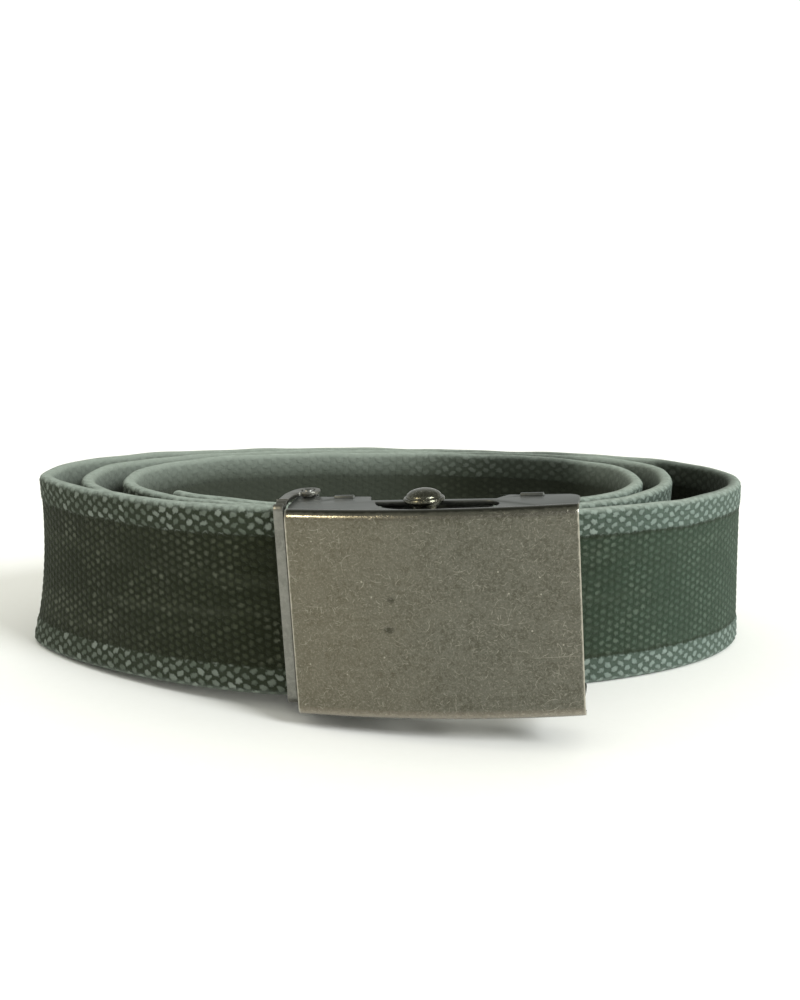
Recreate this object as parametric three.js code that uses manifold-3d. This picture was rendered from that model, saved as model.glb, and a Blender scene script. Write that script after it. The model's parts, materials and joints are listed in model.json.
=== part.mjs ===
// A cotton web belt with a box buckle, coiled and standing on its lower edge.
// Millimetres, +Z up, +X to the right and +Y away from the buckle's side of the coil.
// The origin is under the middle of the whole belt, on the surface that it stands on.

import * as THREE from "three";
import { mergeVertices } from "three/addons/utils/BufferGeometryUtils.js";
import Module from "manifold-3d";

const wasm = await Module();
wasm.setup();

const RAD = Math.PI / 180;
const { lerp, smoothstep, mapLinear } = THREE.MathUtils;

// Strap

const STRAP_WIDTH = 38;
const STRAP_THICK = 3.2;
const STRAP_EDGE = 0.5;
const STRAP_STEP = 5.5;
// How far the edges flare outwards per unit of curvature, where the web is bent
const STRAP_FLARE = 22;
const FLARE_LIMIT = 0.9;
// Where the section has its rows between the middle and the edges, as a share of the half width
const SECTION_ROW = 0.6;

// The coil: where the strap's outer face is farthest out on each side, turn by turn.
// fullness is the power of the rounded quarter that leads to the row from the one before it.
const COIL = [
  { side: "left", x: -79.9, y: 8.0, fullness: 2.0 },
  { side: "back", x: 28.0, y: 63.0, fullness: 2.1 },
  { side: "right", x: 79.5, y: 32.0, fullness: 2.4 },
  { side: "front", x: -16.0, y: -29.4, fullness: 1.92 },
  { side: "left", x: -70.1, y: 7.0, fullness: 2.18 },
  { side: "back", x: 25.0, y: 59.3, fullness: 2.1 },
  { side: "right", x: 64.6, y: 35.0, fullness: 2.9 },
  { side: "front", x: -16.0, y: -25.7, fullness: 2.12 },
  { side: "left", x: -61.0, y: 7.0, fullness: 2.2 },
  { side: "back", x: 22.0, y: 55.6, fullness: 2.1 },
  { side: "right", x: 56.4, y: 26.0, fullness: 2.6 },
  { side: "front", x: -17.0, y: -22.0, fullness: 2.0 },
];
// The innermost stretch runs on from the last row and ends in the free tip
const TIP = { side: "left", x: -56.4, y: 7.0, fullness: 2.15, endX: -47.0 };
const OUTWARD = { left: [-1, 0], right: [1, 0], front: [0, -1], back: [0, 1] };
// The stretch from the buckle to the first row is one curve with these two handles
const SWEEP = { clampHandle: 20, sideHandle: 17 };
const ROUTE_STEPS = 60;

// Buckle: its own axes are x along the plate, y back from the plate and z up

const BUCKLE = { x: 6.95, y: -56.2, z: 24.6, yaw: -10, lean: 2.54, tilt: -4.85 };
const PLATE = { width: 54.4, height: 40, sheet: 0.8, crown: 2.6, fold: 1.8, lip: 2.3 };
const FRAME = { halfWidth: 26.6, halfHeight: 18.9, sheet: 0.9, front: 1.6, corner: 2.5 };
// The flanges' rear edge runs at a slight slant, from the lug round the pin to the right end
const REAR_EDGE = { left: 16.8, right: 15.2 };
const LUG = { radius: 2.1, startAngle: -40, side: -28.8, sideFront: 9.5, root: -27.2, rootFront: 3.0 };
const RECESS = { left: -13.35, right: 10.85, back: 12.6, leftBack: 13.0, leftSlope: 0.6, rightSlope: 2.0 };
const SLOT = { left: -12.15, bend: -6.35, centre: 8.85, near: 4.7, far: 11.0 };
// The slot's left end runs out in a point at leftFar, and eases into the near side
const SLOT_POINT = { leftFar: 11.4, easeX: 1.0, easeY: 1.1 };
const REAR_STRIPS = [{ left: -21.2, right: -17.2 }, { left: 15.2, right: 19.7 }];
const CLAMP = { left: -30.95, right: -28.95, front: 6.2, sheet: 1.4, halfHeight: 20.0, arm: 0.8 };
const EAR = { radius: 2.4, startAngle: -110, endAngle: 100, neckY: 12.4, shoulderX: -30.4, shoulderY: 15.0 };
const PIN = { x: -27.0, y: 18.7, radius: 1.1, clearance: 0.3 };
const LOCK_BAR = { x: -2.05, y: 7.9, radius: 2.5, foot: 1.2 };
// The bar's head: its half width, where it starts and ends, its straight rim and its undercut
const HEAD = { radius: 3.9, base: 19.2, top: 22.1, rim: 0.7, chamfer: 0.6 };
const STRAP_IN_BUCKLE = { face: 8.0, clampX: -30.75, squeezeX: -30.15, endX: -13.75, squeezed: 35.2 };

// Colours

const MATERIALS = {
  web: { color: 0x3a4238, roughness: 0.95, metalness: 0 },
  plate: { color: 0x77736a, roughness: 0.5, metalness: 0.9 },
  frame: { color: 0x686864, roughness: 0.4, metalness: 0.9 },
  clamp: { color: 0x5c5a54, roughness: 0.42, metalness: 0.9 },
  pin: { color: 0x63625e, roughness: 0.4, metalness: 0.9 },
  lockBar: { color: 0x74726a, roughness: 0.32, metalness: 0.95 },
};

function makeMesh(name, geometry, look) {
  const mesh = new THREE.Mesh(geometry, new THREE.MeshStandardMaterial(MATERIALS[look]));
  mesh.name = name;
  return mesh;
}

// Six times the volume inside a list of triangles, negative when they face inwards
function signedVolume(positions, indices) {
  const corner = (k) => new THREE.Vector3().fromArray(positions, 3 * indices[k]);
  let sum = 0;
  for (let k = 0; k < indices.length; k += 3) {
    sum += corner(k).dot(corner(k + 1).cross(corner(k + 2)));
  }
  return sum;
}

// A closed solid through equal rings of points, with a flat cap on the first and the last ring
function loft(rings, section) {
  const count = section.length;
  const positions = rings.flat().flatMap((p) => [p.x, p.y, p.z]);
  const indices = [];
  for (let i = 0; i < rings.length - 1; i += 1) {
    for (let j = 0; j < count; j += 1) {
      const next = (j + 1) % count;
      const a = i * count + j;
      const b = i * count + next;
      const c = (i + 1) * count + next;
      const d = (i + 1) * count + j;
      indices.push(a, b, c, a, c, d);
    }
  }
  const last = (rings.length - 1) * count;
  const ccw = THREE.ShapeUtils.isClockWise(section) ? [...section].reverse() : section;
  const order = ccw === section ? section.map((_, k) => k) : section.map((_, k) => count - 1 - k);
  for (const [a, b, c] of THREE.ShapeUtils.triangulateShape(ccw, [])) {
    const [p, q, r] = [order[a], order[b], order[c]];
    const flip = ccw !== section;
    indices.push(...(flip ? [p, q, r] : [p, r, q]));
    indices.push(...(flip ? [last + p, last + r, last + q] : [last + p, last + q, last + r]));
  }
  if (signedVolume(positions, indices) < 0) {
    for (let k = 0; k < indices.length; k += 3) {
      [indices[k + 1], indices[k + 2]] = [indices[k + 2], indices[k + 1]];
    }
  }
  const geometry = new THREE.BufferGeometry();
  geometry.setAttribute("position", new THREE.Float32BufferAttribute(positions, 3));
  geometry.setIndex(indices);
  return geometry;
}

function toSolid(geometry) {
  const bare = geometry.clone();
  bare.deleteAttribute("normal");
  bare.deleteAttribute("uv");
  const merged = mergeVertices(bare, 1e-4);
  return new wasm.Manifold(new wasm.Mesh({
    numProp: 3,
    vertProperties: Float32Array.from(merged.attributes.position.array),
    triVerts: Uint32Array.from(merged.index.array),
  }));
}

function join(geometries) {
  const solid = geometries.map(toSolid).reduce((whole, part) => whole.add(part));
  const mesh = solid.getMesh();
  const geometry = new THREE.BufferGeometry();
  geometry.setAttribute("position", new THREE.BufferAttribute(mesh.vertProperties, 3));
  geometry.setIndex(new THREE.BufferAttribute(mesh.triVerts, 1));
  return geometry;
}

function block(x, y, z) {
  const geometry = new THREE.BoxGeometry(x[1] - x[0], y[1] - y[0], z[1] - z[0]);
  return geometry.translate((x[0] + x[1]) / 2, (y[0] + y[1]) / 2, (z[0] + z[1]) / 2);
}

// A flat sheet cut to a plan outline, from height z upwards
function sheet(shape, z, thickness) {
  const settings = { depth: thickness, bevelEnabled: false, curveSegments: 8 };
  const geometry = new THREE.ExtrudeGeometry(shape, settings);
  return geometry.translate(0, 0, z);
}

// Strap route

function middlePoint(row) {
  const [ox, oy] = OUTWARD[row.side];
  const inset = STRAP_THICK / 2;
  return new THREE.Vector2(row.x - ox * inset, row.y - oy * inset);
}

// The middle line of a rounded quarter from one row of the coil to the next
function quarter(fromRow, toRow) {
  const from = middlePoint(fromRow);
  const to = middlePoint(toRow);
  const startsFlat = fromRow.side === "front" || fromRow.side === "back";
  const centre = startsFlat ? new THREE.Vector2(from.x, to.y) : new THREE.Vector2(to.x, from.y);
  const points = [];
  for (let k = 1; k <= ROUTE_STEPS; k += 1) {
    const angle = (k / ROUTE_STEPS) * (Math.PI / 2);
    const rise = Math.sin(angle) ** (2 / toRow.fullness);
    const fall = Math.cos(angle) ** (2 / toRow.fullness);
    const x = startsFlat ? lerp(centre.x, to.x, rise) : lerp(centre.x, from.x, fall);
    const y = startsFlat ? lerp(centre.y, from.y, fall) : lerp(centre.y, to.y, rise);
    points.push(new THREE.Vector3(x, y, STRAP_WIDTH / 2));
  }
  return points;
}

function buckleMatrix() {
  const turn = new THREE.Euler(BUCKLE.lean * RAD, BUCKLE.tilt * RAD, BUCKLE.yaw * RAD, "ZXY");
  return new THREE.Matrix4().compose(
    new THREE.Vector3(BUCKLE.x, BUCKLE.y, BUCKLE.z),
    new THREE.Quaternion().setFromEuler(turn),
    new THREE.Vector3(1, 1, 1),
  );
}

// The strap's middle line from the buckle outwards, and how far along it the buckle holds it
function strapRoute() {
  const matrix = buckleMatrix();
  const held = (x) => new THREE.Vector3(x, STRAP_IN_BUCKLE.face + STRAP_THICK / 2, 0).applyMatrix4(matrix);
  const end = held(STRAP_IN_BUCKLE.endX);
  const clamp = held(STRAP_IN_BUCKLE.clampX);
  const away = clamp.clone().sub(end).normalize();
  const firstSide = middlePoint(COIL[0]);
  const side = new THREE.Vector3(firstSide.x, firstSide.y, STRAP_WIDTH / 2);
  const sweep = new THREE.CubicBezierCurve3(
    clamp,
    clamp.clone().addScaledVector(away, SWEEP.clampHandle),
    side.clone().add(new THREE.Vector3(0, -SWEEP.sideHandle, 0)),
    side,
  );
  const points = [end, clamp, ...sweep.getPoints(ROUTE_STEPS).slice(1)];
  const heldLength = end.distanceTo(clamp);
  const freeLength = heldLength + sweep.getLength();
  for (let k = 1; k < COIL.length; k += 1) {
    points.push(...quarter(COIL[k - 1], COIL[k]));
  }
  points.push(...quarter(COIL[COIL.length - 1], TIP).filter((p) => p.x >= TIP.endX));
  return { points, heldLength, freeLength };
}

// The same line in even steps
function evenStations(points, step) {
  const lengths = [0];
  for (let k = 1; k < points.length; k += 1) {
    lengths.push(lengths[k - 1] + points[k].distanceTo(points[k - 1]));
  }
  const total = lengths[lengths.length - 1];
  const count = Math.round(total / step);
  const stations = [];
  let segment = 0;
  for (let k = 0; k <= count; k += 1) {
    const at = (k / count) * total;
    while (segment < points.length - 2 && lengths[segment + 1] < at) {
      segment += 1;
    }
    const share = (at - lengths[segment]) / (lengths[segment + 1] - lengths[segment]);
    stations.push({ at, point: points[segment].clone().lerp(points[segment + 1], share) });
  }
  return stations;
}

// Half of the strap's section: heights from the middle, with the corners eased
function sectionRows(halfWidth) {
  const eased = halfWidth - STRAP_EDGE;
  const between = eased * SECTION_ROW;
  return [
    { height: -halfWidth, inset: STRAP_EDGE },
    { height: -eased, inset: 0 },
    { height: -between, inset: 0 },
    { height: 0, inset: 0 },
    { height: between, inset: 0 },
    { height: eased, inset: 0 },
    { height: halfWidth, inset: STRAP_EDGE },
  ];
}

function sectionPoints(halfWidth, flare) {
  const rows = sectionRows(halfWidth);
  const bend = (row) => flare * (row.height / halfWidth) ** 2;
  const half = STRAP_THICK / 2;
  const outer = rows.map((row) => new THREE.Vector2(bend(row) + half - row.inset, row.height));
  const inner = rows.map((row) => new THREE.Vector2(bend(row) - half + row.inset, row.height)).reverse();
  return [...outer, ...inner];
}

function strap() {
  const { points, heldLength, freeLength } = strapRoute();
  const stations = evenStations(points, STRAP_STEP);
  const buckleUp = new THREE.Vector3(0, 0, 1).transformDirection(buckleMatrix());
  const upright = new THREE.Vector3(0, 0, 1);
  const squeezeLength = STRAP_IN_BUCKLE.squeezeX - STRAP_IN_BUCKLE.endX;
  const rings = stations.map(({ at, point }, k) => {
    const before = stations[Math.max(k - 1, 0)];
    const after = stations[Math.min(k + 1, stations.length - 1)];
    const along = after.point.clone().sub(before.point).normalize();
    const freed = smoothstep(at, heldLength, freeLength);
    const up = buckleUp.clone().lerp(upright, freed).normalize();
    const out = up.clone().cross(along).normalize();
    let flare = 0;
    if (k > 0 && k < stations.length - 1) {
      const turn = after.point.clone().sub(point).angleTo(point.clone().sub(before.point));
      const curvature = turn / point.distanceTo(before.point);
      flare = freed * Math.min(STRAP_FLARE * curvature, FLARE_LIMIT);
    }
    const squeezed = 1 - smoothstep(at, -squeezeLength, heldLength);
    const width = lerp(STRAP_WIDTH, STRAP_IN_BUCKLE.squeezed, squeezed);
    return sectionPoints(width / 2, flare).map((p) => (
      point.clone().addScaledVector(out, p.x).addScaledVector(up, p.y)
    ));
  });
  return makeMesh("web_strap", loft(rings, sectionPoints(STRAP_WIDTH / 2, 0)), "web");
}

// Front plate

// The plate's section at one place along its length: a face with its edges rolled back into lips
function plateSection(faceY) {
  const half = PLATE.height / 2;
  const arcSteps = 4;
  const arc = (radius, sign, backwards) => {
    const points = [];
    for (let k = 0; k <= arcSteps; k += 1) {
      const angle = ((backwards ? arcSteps - k : k) / arcSteps) * (Math.PI / 2);
      const y = faceY + PLATE.fold - radius * Math.sin(angle);
      const z = sign * (half - PLATE.fold + radius * Math.cos(angle));
      points.push(new THREE.Vector2(y, z));
    }
    return points;
  };
  const inner = PLATE.fold - PLATE.sheet;
  const lipEnd = faceY + PLATE.lip;
  return [
    new THREE.Vector2(lipEnd, half),
    ...arc(PLATE.fold, 1, false),
    ...arc(PLATE.fold, -1, true),
    new THREE.Vector2(lipEnd, -half),
    new THREE.Vector2(lipEnd, PLATE.sheet - half),
    ...arc(inner, -1, false),
    ...arc(inner, 1, true),
    new THREE.Vector2(lipEnd, half - PLATE.sheet),
  ];
}

function frontPlate() {
  const columns = 16;
  const rings = [];
  for (let k = 0; k <= columns; k += 1) {
    const share = (2 * k) / columns - 1;
    const faceY = -PLATE.crown * (1 - share ** 2);
    const x = (share * PLATE.width) / 2;
    rings.push(plateSection(faceY).map((p) => new THREE.Vector3(x, p.x, p.y)));
  }
  return makeMesh("front_plate", loft(rings, plateSection(0)), "plate");
}

// Frame

function rearEdge(x) {
  return mapLinear(x, -FRAME.halfWidth, FRAME.halfWidth, REAR_EDGE.left, REAR_EDGE.right);
}

function slotPath() {
  const { left, bend, centre, near, far } = SLOT;
  const { leftFar, easeX, easeY } = SLOT_POINT;
  const slot = new THREE.Path();
  slot.moveTo(left, leftFar);
  slot.quadraticCurveTo(left + easeX, near + easeY, bend, near);
  slot.absarc(centre, (near + far) / 2, (far - near) / 2, -Math.PI / 2, Math.PI / 2, false);
  slot.lineTo(left, leftFar);
  return slot;
}

function pinHole() {
  const hole = new THREE.Path();
  hole.absarc(PIN.x, PIN.y, PIN.radius + PIN.clearance, 0, 2 * Math.PI, false);
  return hole;
}

function flangeShape() {
  const { halfWidth, front, corner } = FRAME;
  const recessEnd = RECESS.right + RECESS.rightSlope;
  const recessStart = RECESS.left - RECESS.leftSlope;
  const shape = new THREE.Shape();
  shape.moveTo(-halfWidth, front);
  shape.lineTo(halfWidth, front);
  shape.absarc(halfWidth - corner, REAR_EDGE.right - corner, corner, 0, Math.PI / 2, false);
  shape.lineTo(recessEnd, rearEdge(recessEnd));
  shape.lineTo(RECESS.right, RECESS.back);
  shape.lineTo(RECESS.left, RECESS.leftBack);
  shape.lineTo(recessStart, rearEdge(recessStart));
  shape.absarc(PIN.x, PIN.y, LUG.radius, LUG.startAngle * RAD, Math.PI, false);
  shape.lineTo(LUG.side, LUG.sideFront);
  shape.lineTo(LUG.root, LUG.rootFront);
  shape.closePath();
  shape.holes.push(slotPath(), pinHole());
  return shape;
}

function frame() {
  const { halfWidth, halfHeight, sheet: gauge, front } = FRAME;
  const inside = halfHeight - gauge;
  const strips = REAR_STRIPS.map(({ left, right }) => {
    const back = rearEdge(right);
    return block([left, right], [back - gauge, back], [-halfHeight, halfHeight]);
  });
  const geometry = join([
    block([-halfWidth, halfWidth], [front, front + gauge], [-halfHeight, halfHeight]),
    sheet(flangeShape(), inside, gauge),
    sheet(flangeShape(), -halfHeight, gauge),
    ...strips,
  ]);
  return makeMesh("frame", geometry, "frame");
}

// End clamp

function armShape() {
  const { left, right, front } = CLAMP;
  const { radius, startAngle, endAngle, neckY, shoulderX, shoulderY } = EAR;
  const neckEnd = new THREE.Vector2(radius, 0).rotateAround(new THREE.Vector2(), startAngle * RAD);
  const shape = new THREE.Shape();
  shape.moveTo(left, front);
  shape.lineTo(right, front);
  shape.lineTo(right, neckY);
  shape.quadraticCurveTo(right, PIN.y - radius, PIN.x + neckEnd.x, PIN.y + neckEnd.y);
  shape.absarc(PIN.x, PIN.y, radius, startAngle * RAD, endAngle * RAD, false);
  shape.quadraticCurveTo(shoulderX, PIN.y + radius, left, shoulderY);
  shape.closePath();
  shape.holes.push(pinHole());
  return shape;
}

function endClamp() {
  const { left, right, front, sheet: gauge, halfHeight, arm } = CLAMP;
  const geometry = join([
    block([left, right], [front, front + gauge], [-halfHeight, halfHeight]),
    sheet(armShape(), halfHeight - arm, arm),
    sheet(armShape(), -halfHeight, arm),
  ]);
  return makeMesh("end_clamp", geometry, "clamp");
}

function clampPin() {
  const geometry = new THREE.CylinderGeometry(PIN.radius, PIN.radius, 2 * CLAMP.halfHeight, 20);
  geometry.rotateX(Math.PI / 2).translate(PIN.x, PIN.y, 0);
  return makeMesh("clamp_pin", geometry, "pin");
}

// Lock bar: a round shaft with a domed head above the upper flange and a flat one below

function lockBar() {
  const { radius, foot } = LOCK_BAR;
  const { radius: head, base, top, rim, chamfer } = HEAD;
  const domeSteps = 7;
  const outline = [
    new THREE.Vector2(0, -base - foot),
    new THREE.Vector2(head, -base - foot),
    new THREE.Vector2(head, -base),
    new THREE.Vector2(radius, -base),
    new THREE.Vector2(radius, base),
    new THREE.Vector2(head - chamfer, base),
  ];
  for (let k = 0; k < domeSteps; k += 1) {
    const angle = (k / domeSteps) * (Math.PI / 2);
    outline.push(new THREE.Vector2(head * Math.cos(angle), lerp(base + rim, top, Math.sin(angle))));
  }
  outline.push(new THREE.Vector2(0, top));
  const geometry = new THREE.LatheGeometry(outline, 28);
  geometry.rotateX(Math.PI / 2).translate(LOCK_BAR.x, LOCK_BAR.y, 0);
  return makeMesh("lock_bar", geometry, "lockBar");
}

// Assembly

const buckle = new THREE.Group();
buckle.add(frontPlate(), frame(), endClamp(), clampPin(), lockBar());
buckle.applyMatrix4(buckleMatrix());

const belt = new THREE.Group();
belt.add(strap(), buckle);
belt.updateMatrixWorld(true);
const extent = new THREE.Box3().setFromObject(belt, true);
const middle = extent.getCenter(new THREE.Vector3());
belt.position.set(-middle.x, -middle.y, -extent.min.z);
belt.updateMatrixWorld(true);

export default belt;
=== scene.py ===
"""A coiled cotton web belt with a box buckle, standing on its lower edge on a pale floor."""

import json
import logging
import math
from collections.abc import Callable, Iterator
from contextlib import contextmanager
from dataclasses import dataclass
from enum import Enum

import bmesh
import bpy
import numpy as np
from mathutils import Matrix, Vector
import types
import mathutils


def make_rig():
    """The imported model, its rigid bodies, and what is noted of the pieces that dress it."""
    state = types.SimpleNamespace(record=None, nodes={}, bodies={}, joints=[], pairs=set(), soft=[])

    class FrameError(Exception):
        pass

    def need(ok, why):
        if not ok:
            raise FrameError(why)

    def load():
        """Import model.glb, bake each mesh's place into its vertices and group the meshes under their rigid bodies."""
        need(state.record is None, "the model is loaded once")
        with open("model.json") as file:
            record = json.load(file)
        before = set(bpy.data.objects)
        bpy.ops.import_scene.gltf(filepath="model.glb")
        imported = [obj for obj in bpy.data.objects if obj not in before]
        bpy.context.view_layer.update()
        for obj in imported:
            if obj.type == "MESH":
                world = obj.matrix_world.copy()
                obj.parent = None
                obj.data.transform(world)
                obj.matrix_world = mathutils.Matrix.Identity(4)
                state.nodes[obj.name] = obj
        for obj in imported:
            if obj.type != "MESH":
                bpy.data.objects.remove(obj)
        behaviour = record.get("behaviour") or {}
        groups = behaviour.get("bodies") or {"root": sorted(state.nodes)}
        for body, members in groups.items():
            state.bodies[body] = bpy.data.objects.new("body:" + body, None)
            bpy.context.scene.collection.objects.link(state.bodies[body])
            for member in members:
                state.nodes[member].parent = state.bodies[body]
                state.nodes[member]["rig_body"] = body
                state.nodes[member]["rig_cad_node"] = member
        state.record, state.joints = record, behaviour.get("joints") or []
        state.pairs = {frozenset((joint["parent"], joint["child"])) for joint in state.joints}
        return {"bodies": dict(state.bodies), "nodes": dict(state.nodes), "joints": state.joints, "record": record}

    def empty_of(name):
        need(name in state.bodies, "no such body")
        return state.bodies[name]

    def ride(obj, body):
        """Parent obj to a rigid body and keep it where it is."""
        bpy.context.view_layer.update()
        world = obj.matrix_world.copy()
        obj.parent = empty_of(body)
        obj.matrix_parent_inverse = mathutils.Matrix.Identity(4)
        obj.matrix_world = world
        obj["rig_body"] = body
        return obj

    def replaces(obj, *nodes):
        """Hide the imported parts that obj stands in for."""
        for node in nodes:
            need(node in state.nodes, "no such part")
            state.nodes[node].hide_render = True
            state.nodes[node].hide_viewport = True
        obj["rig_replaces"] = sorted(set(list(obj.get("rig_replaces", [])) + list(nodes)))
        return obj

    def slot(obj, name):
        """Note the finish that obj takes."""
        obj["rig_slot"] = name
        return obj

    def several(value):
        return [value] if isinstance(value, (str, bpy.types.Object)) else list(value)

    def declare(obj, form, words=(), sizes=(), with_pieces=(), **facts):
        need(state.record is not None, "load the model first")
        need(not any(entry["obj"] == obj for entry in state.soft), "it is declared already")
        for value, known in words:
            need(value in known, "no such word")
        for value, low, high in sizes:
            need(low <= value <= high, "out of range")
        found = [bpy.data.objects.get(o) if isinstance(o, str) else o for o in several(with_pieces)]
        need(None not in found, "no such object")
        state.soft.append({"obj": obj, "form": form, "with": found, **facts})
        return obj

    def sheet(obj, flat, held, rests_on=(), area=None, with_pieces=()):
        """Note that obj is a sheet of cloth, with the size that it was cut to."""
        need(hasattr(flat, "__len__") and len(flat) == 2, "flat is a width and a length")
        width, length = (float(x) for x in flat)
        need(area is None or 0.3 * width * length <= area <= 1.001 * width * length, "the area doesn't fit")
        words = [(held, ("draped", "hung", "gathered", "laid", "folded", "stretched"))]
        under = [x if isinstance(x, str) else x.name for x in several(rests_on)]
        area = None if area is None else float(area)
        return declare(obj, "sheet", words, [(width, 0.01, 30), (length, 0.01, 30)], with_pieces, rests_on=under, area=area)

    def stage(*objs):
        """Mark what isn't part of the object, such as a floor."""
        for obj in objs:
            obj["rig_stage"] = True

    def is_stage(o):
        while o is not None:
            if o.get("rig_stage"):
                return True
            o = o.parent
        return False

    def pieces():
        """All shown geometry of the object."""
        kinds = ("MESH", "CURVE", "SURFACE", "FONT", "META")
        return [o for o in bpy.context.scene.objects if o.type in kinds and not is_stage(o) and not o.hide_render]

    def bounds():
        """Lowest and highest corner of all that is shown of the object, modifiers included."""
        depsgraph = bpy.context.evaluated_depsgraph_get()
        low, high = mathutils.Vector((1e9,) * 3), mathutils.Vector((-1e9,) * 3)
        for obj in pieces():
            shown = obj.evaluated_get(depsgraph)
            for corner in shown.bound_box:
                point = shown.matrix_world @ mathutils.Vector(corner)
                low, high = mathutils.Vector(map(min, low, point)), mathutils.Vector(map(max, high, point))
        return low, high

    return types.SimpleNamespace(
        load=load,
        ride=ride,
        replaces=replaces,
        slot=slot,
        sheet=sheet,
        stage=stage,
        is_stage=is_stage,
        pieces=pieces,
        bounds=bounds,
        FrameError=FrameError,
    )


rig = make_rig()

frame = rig.load()

LOG = logging.getLogger("web_belt")
MM = 0.001
# A corner this near a plane lies on it, in millimetres.
TOUCH = 0.001
# One unit of the web's map is this many millimetres.
MAP_UNIT = 10.0
WEB_MAP = "web_plan"
Point = tuple[float, float]
Triple = tuple[float, float, float]
Colour = Triple
Test = Callable[[Vector], bool]


class Pick(Enum):
    """What is selected in edit mode."""

    VERTS = "VERT"
    EDGES = "EDGE"
    FACES = "FACE"


class Side(Enum):
    """The side of the coil on which a row of the web's route lies, and the way out from there."""

    LEFT = (-1.0, 0.0)
    RIGHT = (1.0, 0.0)
    FRONT = (0.0, -1.0)
    BACK = (0.0, 1.0)


@dataclass(frozen=True)
class BuckleSeat:
    """Where the buckle hangs: its middle and its three small turns, in millimetres and degrees."""

    place: Triple = (7.1952, -56.9749, 24.6)
    yaw: float = -10.0
    lean: float = 2.54
    tilt: float = -4.85

    def turn(self) -> Matrix:
        """The turn from the buckle's own axes to the row's."""
        yaw = Matrix.Rotation(math.radians(self.yaw), 4, "Z")
        lean = Matrix.Rotation(math.radians(self.lean), 4, "X")
        tilt = Matrix.Rotation(math.radians(self.tilt), 4, "Y")
        return yaw @ lean @ tilt

    def matrix(self) -> Matrix:
        """From millimetres in the buckle's own axes to millimetres in the row's."""
        return Matrix.Translation(Vector(self.place)) @ self.turn()


SEAT = BuckleSeat()


def take(piece: bpy.types.Object) -> None:
    """Make one object the only selected one and the active one.

    Args:
        piece: the object to work on.
    """
    for other in bpy.context.scene.objects:
        other.select_set(False)
    piece.select_set(True)
    bpy.context.view_layer.objects.active = piece


@contextmanager
def editing(piece: bpy.types.Object, pick: Pick, test: Test | None = None) -> Iterator[None]:
    """Work on a piece in edit mode, with all of it selected or only what passes a test.

    Args:
        piece: the object to edit.
        pick: the kind of element that selections hold.
        test: takes a corner's place; an element is selected if all its corners pass.
    """
    take(piece)
    bpy.ops.object.mode_set(mode="EDIT")
    bpy.ops.mesh.select_mode(type=pick.value)
    bpy.ops.mesh.select_all(action="DESELECT" if test else "SELECT")
    if test:
        mesh = bmesh.from_edit_mesh(piece.data)
        for element in mesh.edges if pick is Pick.EDGES else mesh.faces:
            if all(test(vert.co) for vert in element.verts):
                element.select_set(True)
        bmesh.update_edit_mesh(piece.data)
    yield
    bpy.ops.object.mode_set(mode="OBJECT")


def apply_all(piece: bpy.types.Object) -> None:
    """Apply every modifier of a piece in order.

    Args:
        piece: the object that has them.
    """
    take(piece)
    for name in [modifier.name for modifier in piece.modifiers]:
        bpy.ops.object.modifier_apply(modifier=name)


def round_edges(piece: bpy.types.Object, width: float, segments: int = 2, angle: float = 35.0) -> None:
    """Round the sharp edges of a piece.

    Args:
        piece: the object whose edges are rounded.
        width: the width of the rounding, in the mesh's units.
        segments: how many faces go round it.
        angle: edges flatter than this many degrees are left.
    """
    bevel = piece.modifiers.new("rounding", "BEVEL")
    bevel.width = width
    bevel.segments = segments
    bevel.limit_method = "ANGLE"
    bevel.angle_limit = math.radians(angle)
    bevel.use_clamp_overlap = False
    apply_all(piece)


def give_wall(piece: bpy.types.Object, gauge: float, even: bool = False) -> None:
    """Give a sheet its thickness, behind its face.

    Args:
        piece: the sheet.
        gauge: its thickness.
        even: whether the thickness is kept round bends.
    """
    wall = piece.modifiers.new("wall", "SOLIDIFY")
    wall.thickness = gauge
    wall.offset = -1
    wall.use_even_offset = even
    apply_all(piece)


def freeze(name: str, scale: Triple = (1.0, 1.0, 1.0)) -> bpy.types.Object:
    """Name the new primitive, size it and put its place into its mesh.

    Args:
        name: its name.
        scale: its size along each axis.

    Returns:
        The primitive.
    """
    piece = bpy.context.object
    piece.name = name
    piece.scale = scale
    bpy.ops.object.transform_apply(location=True, rotation=True, scale=True)
    return piece


def add_block(name: str, low: Triple, high: Triple) -> bpy.types.Object:
    """A block between its lowest and its highest corner."""
    bpy.ops.mesh.primitive_cube_add(size=1, location=[(a + b) / 2 for a, b in zip(low, high)])
    return freeze(name, [b - a for a, b in zip(low, high)])


def add_rod(name: str, place: Point, radius: float, reach: float, sides: int) -> bpy.types.Object:
    """An upright rod.

    Args:
        name: the new object's name.
        place: the rod's axis.
        radius: its radius.
        reach: how far it goes up and down from the middle.
        sides: how many sides it has.

    Returns:
        The rod.
    """
    location = (*place, 0)
    bpy.ops.mesh.primitive_cylinder_add(vertices=sides, radius=radius, depth=2 * reach, location=location)
    return freeze(name)


def add_grid(name: str, steps: tuple[int, int], size: Point, place: Triple) -> bpy.types.Object:
    """An upright flat grid.

    Args:
        name: the new object's name.
        steps: how many columns and rows it has.
        size: its width and height.
        place: its middle.

    Returns:
        The grid.
    """
    columns, rows = steps
    upright = (math.pi / 2, 0, 0)
    bpy.ops.mesh.primitive_grid_add(
        x_subdivisions=columns, y_subdivisions=rows, size=1, location=place, rotation=upright
    )
    return freeze(name, (*size, 1))


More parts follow.
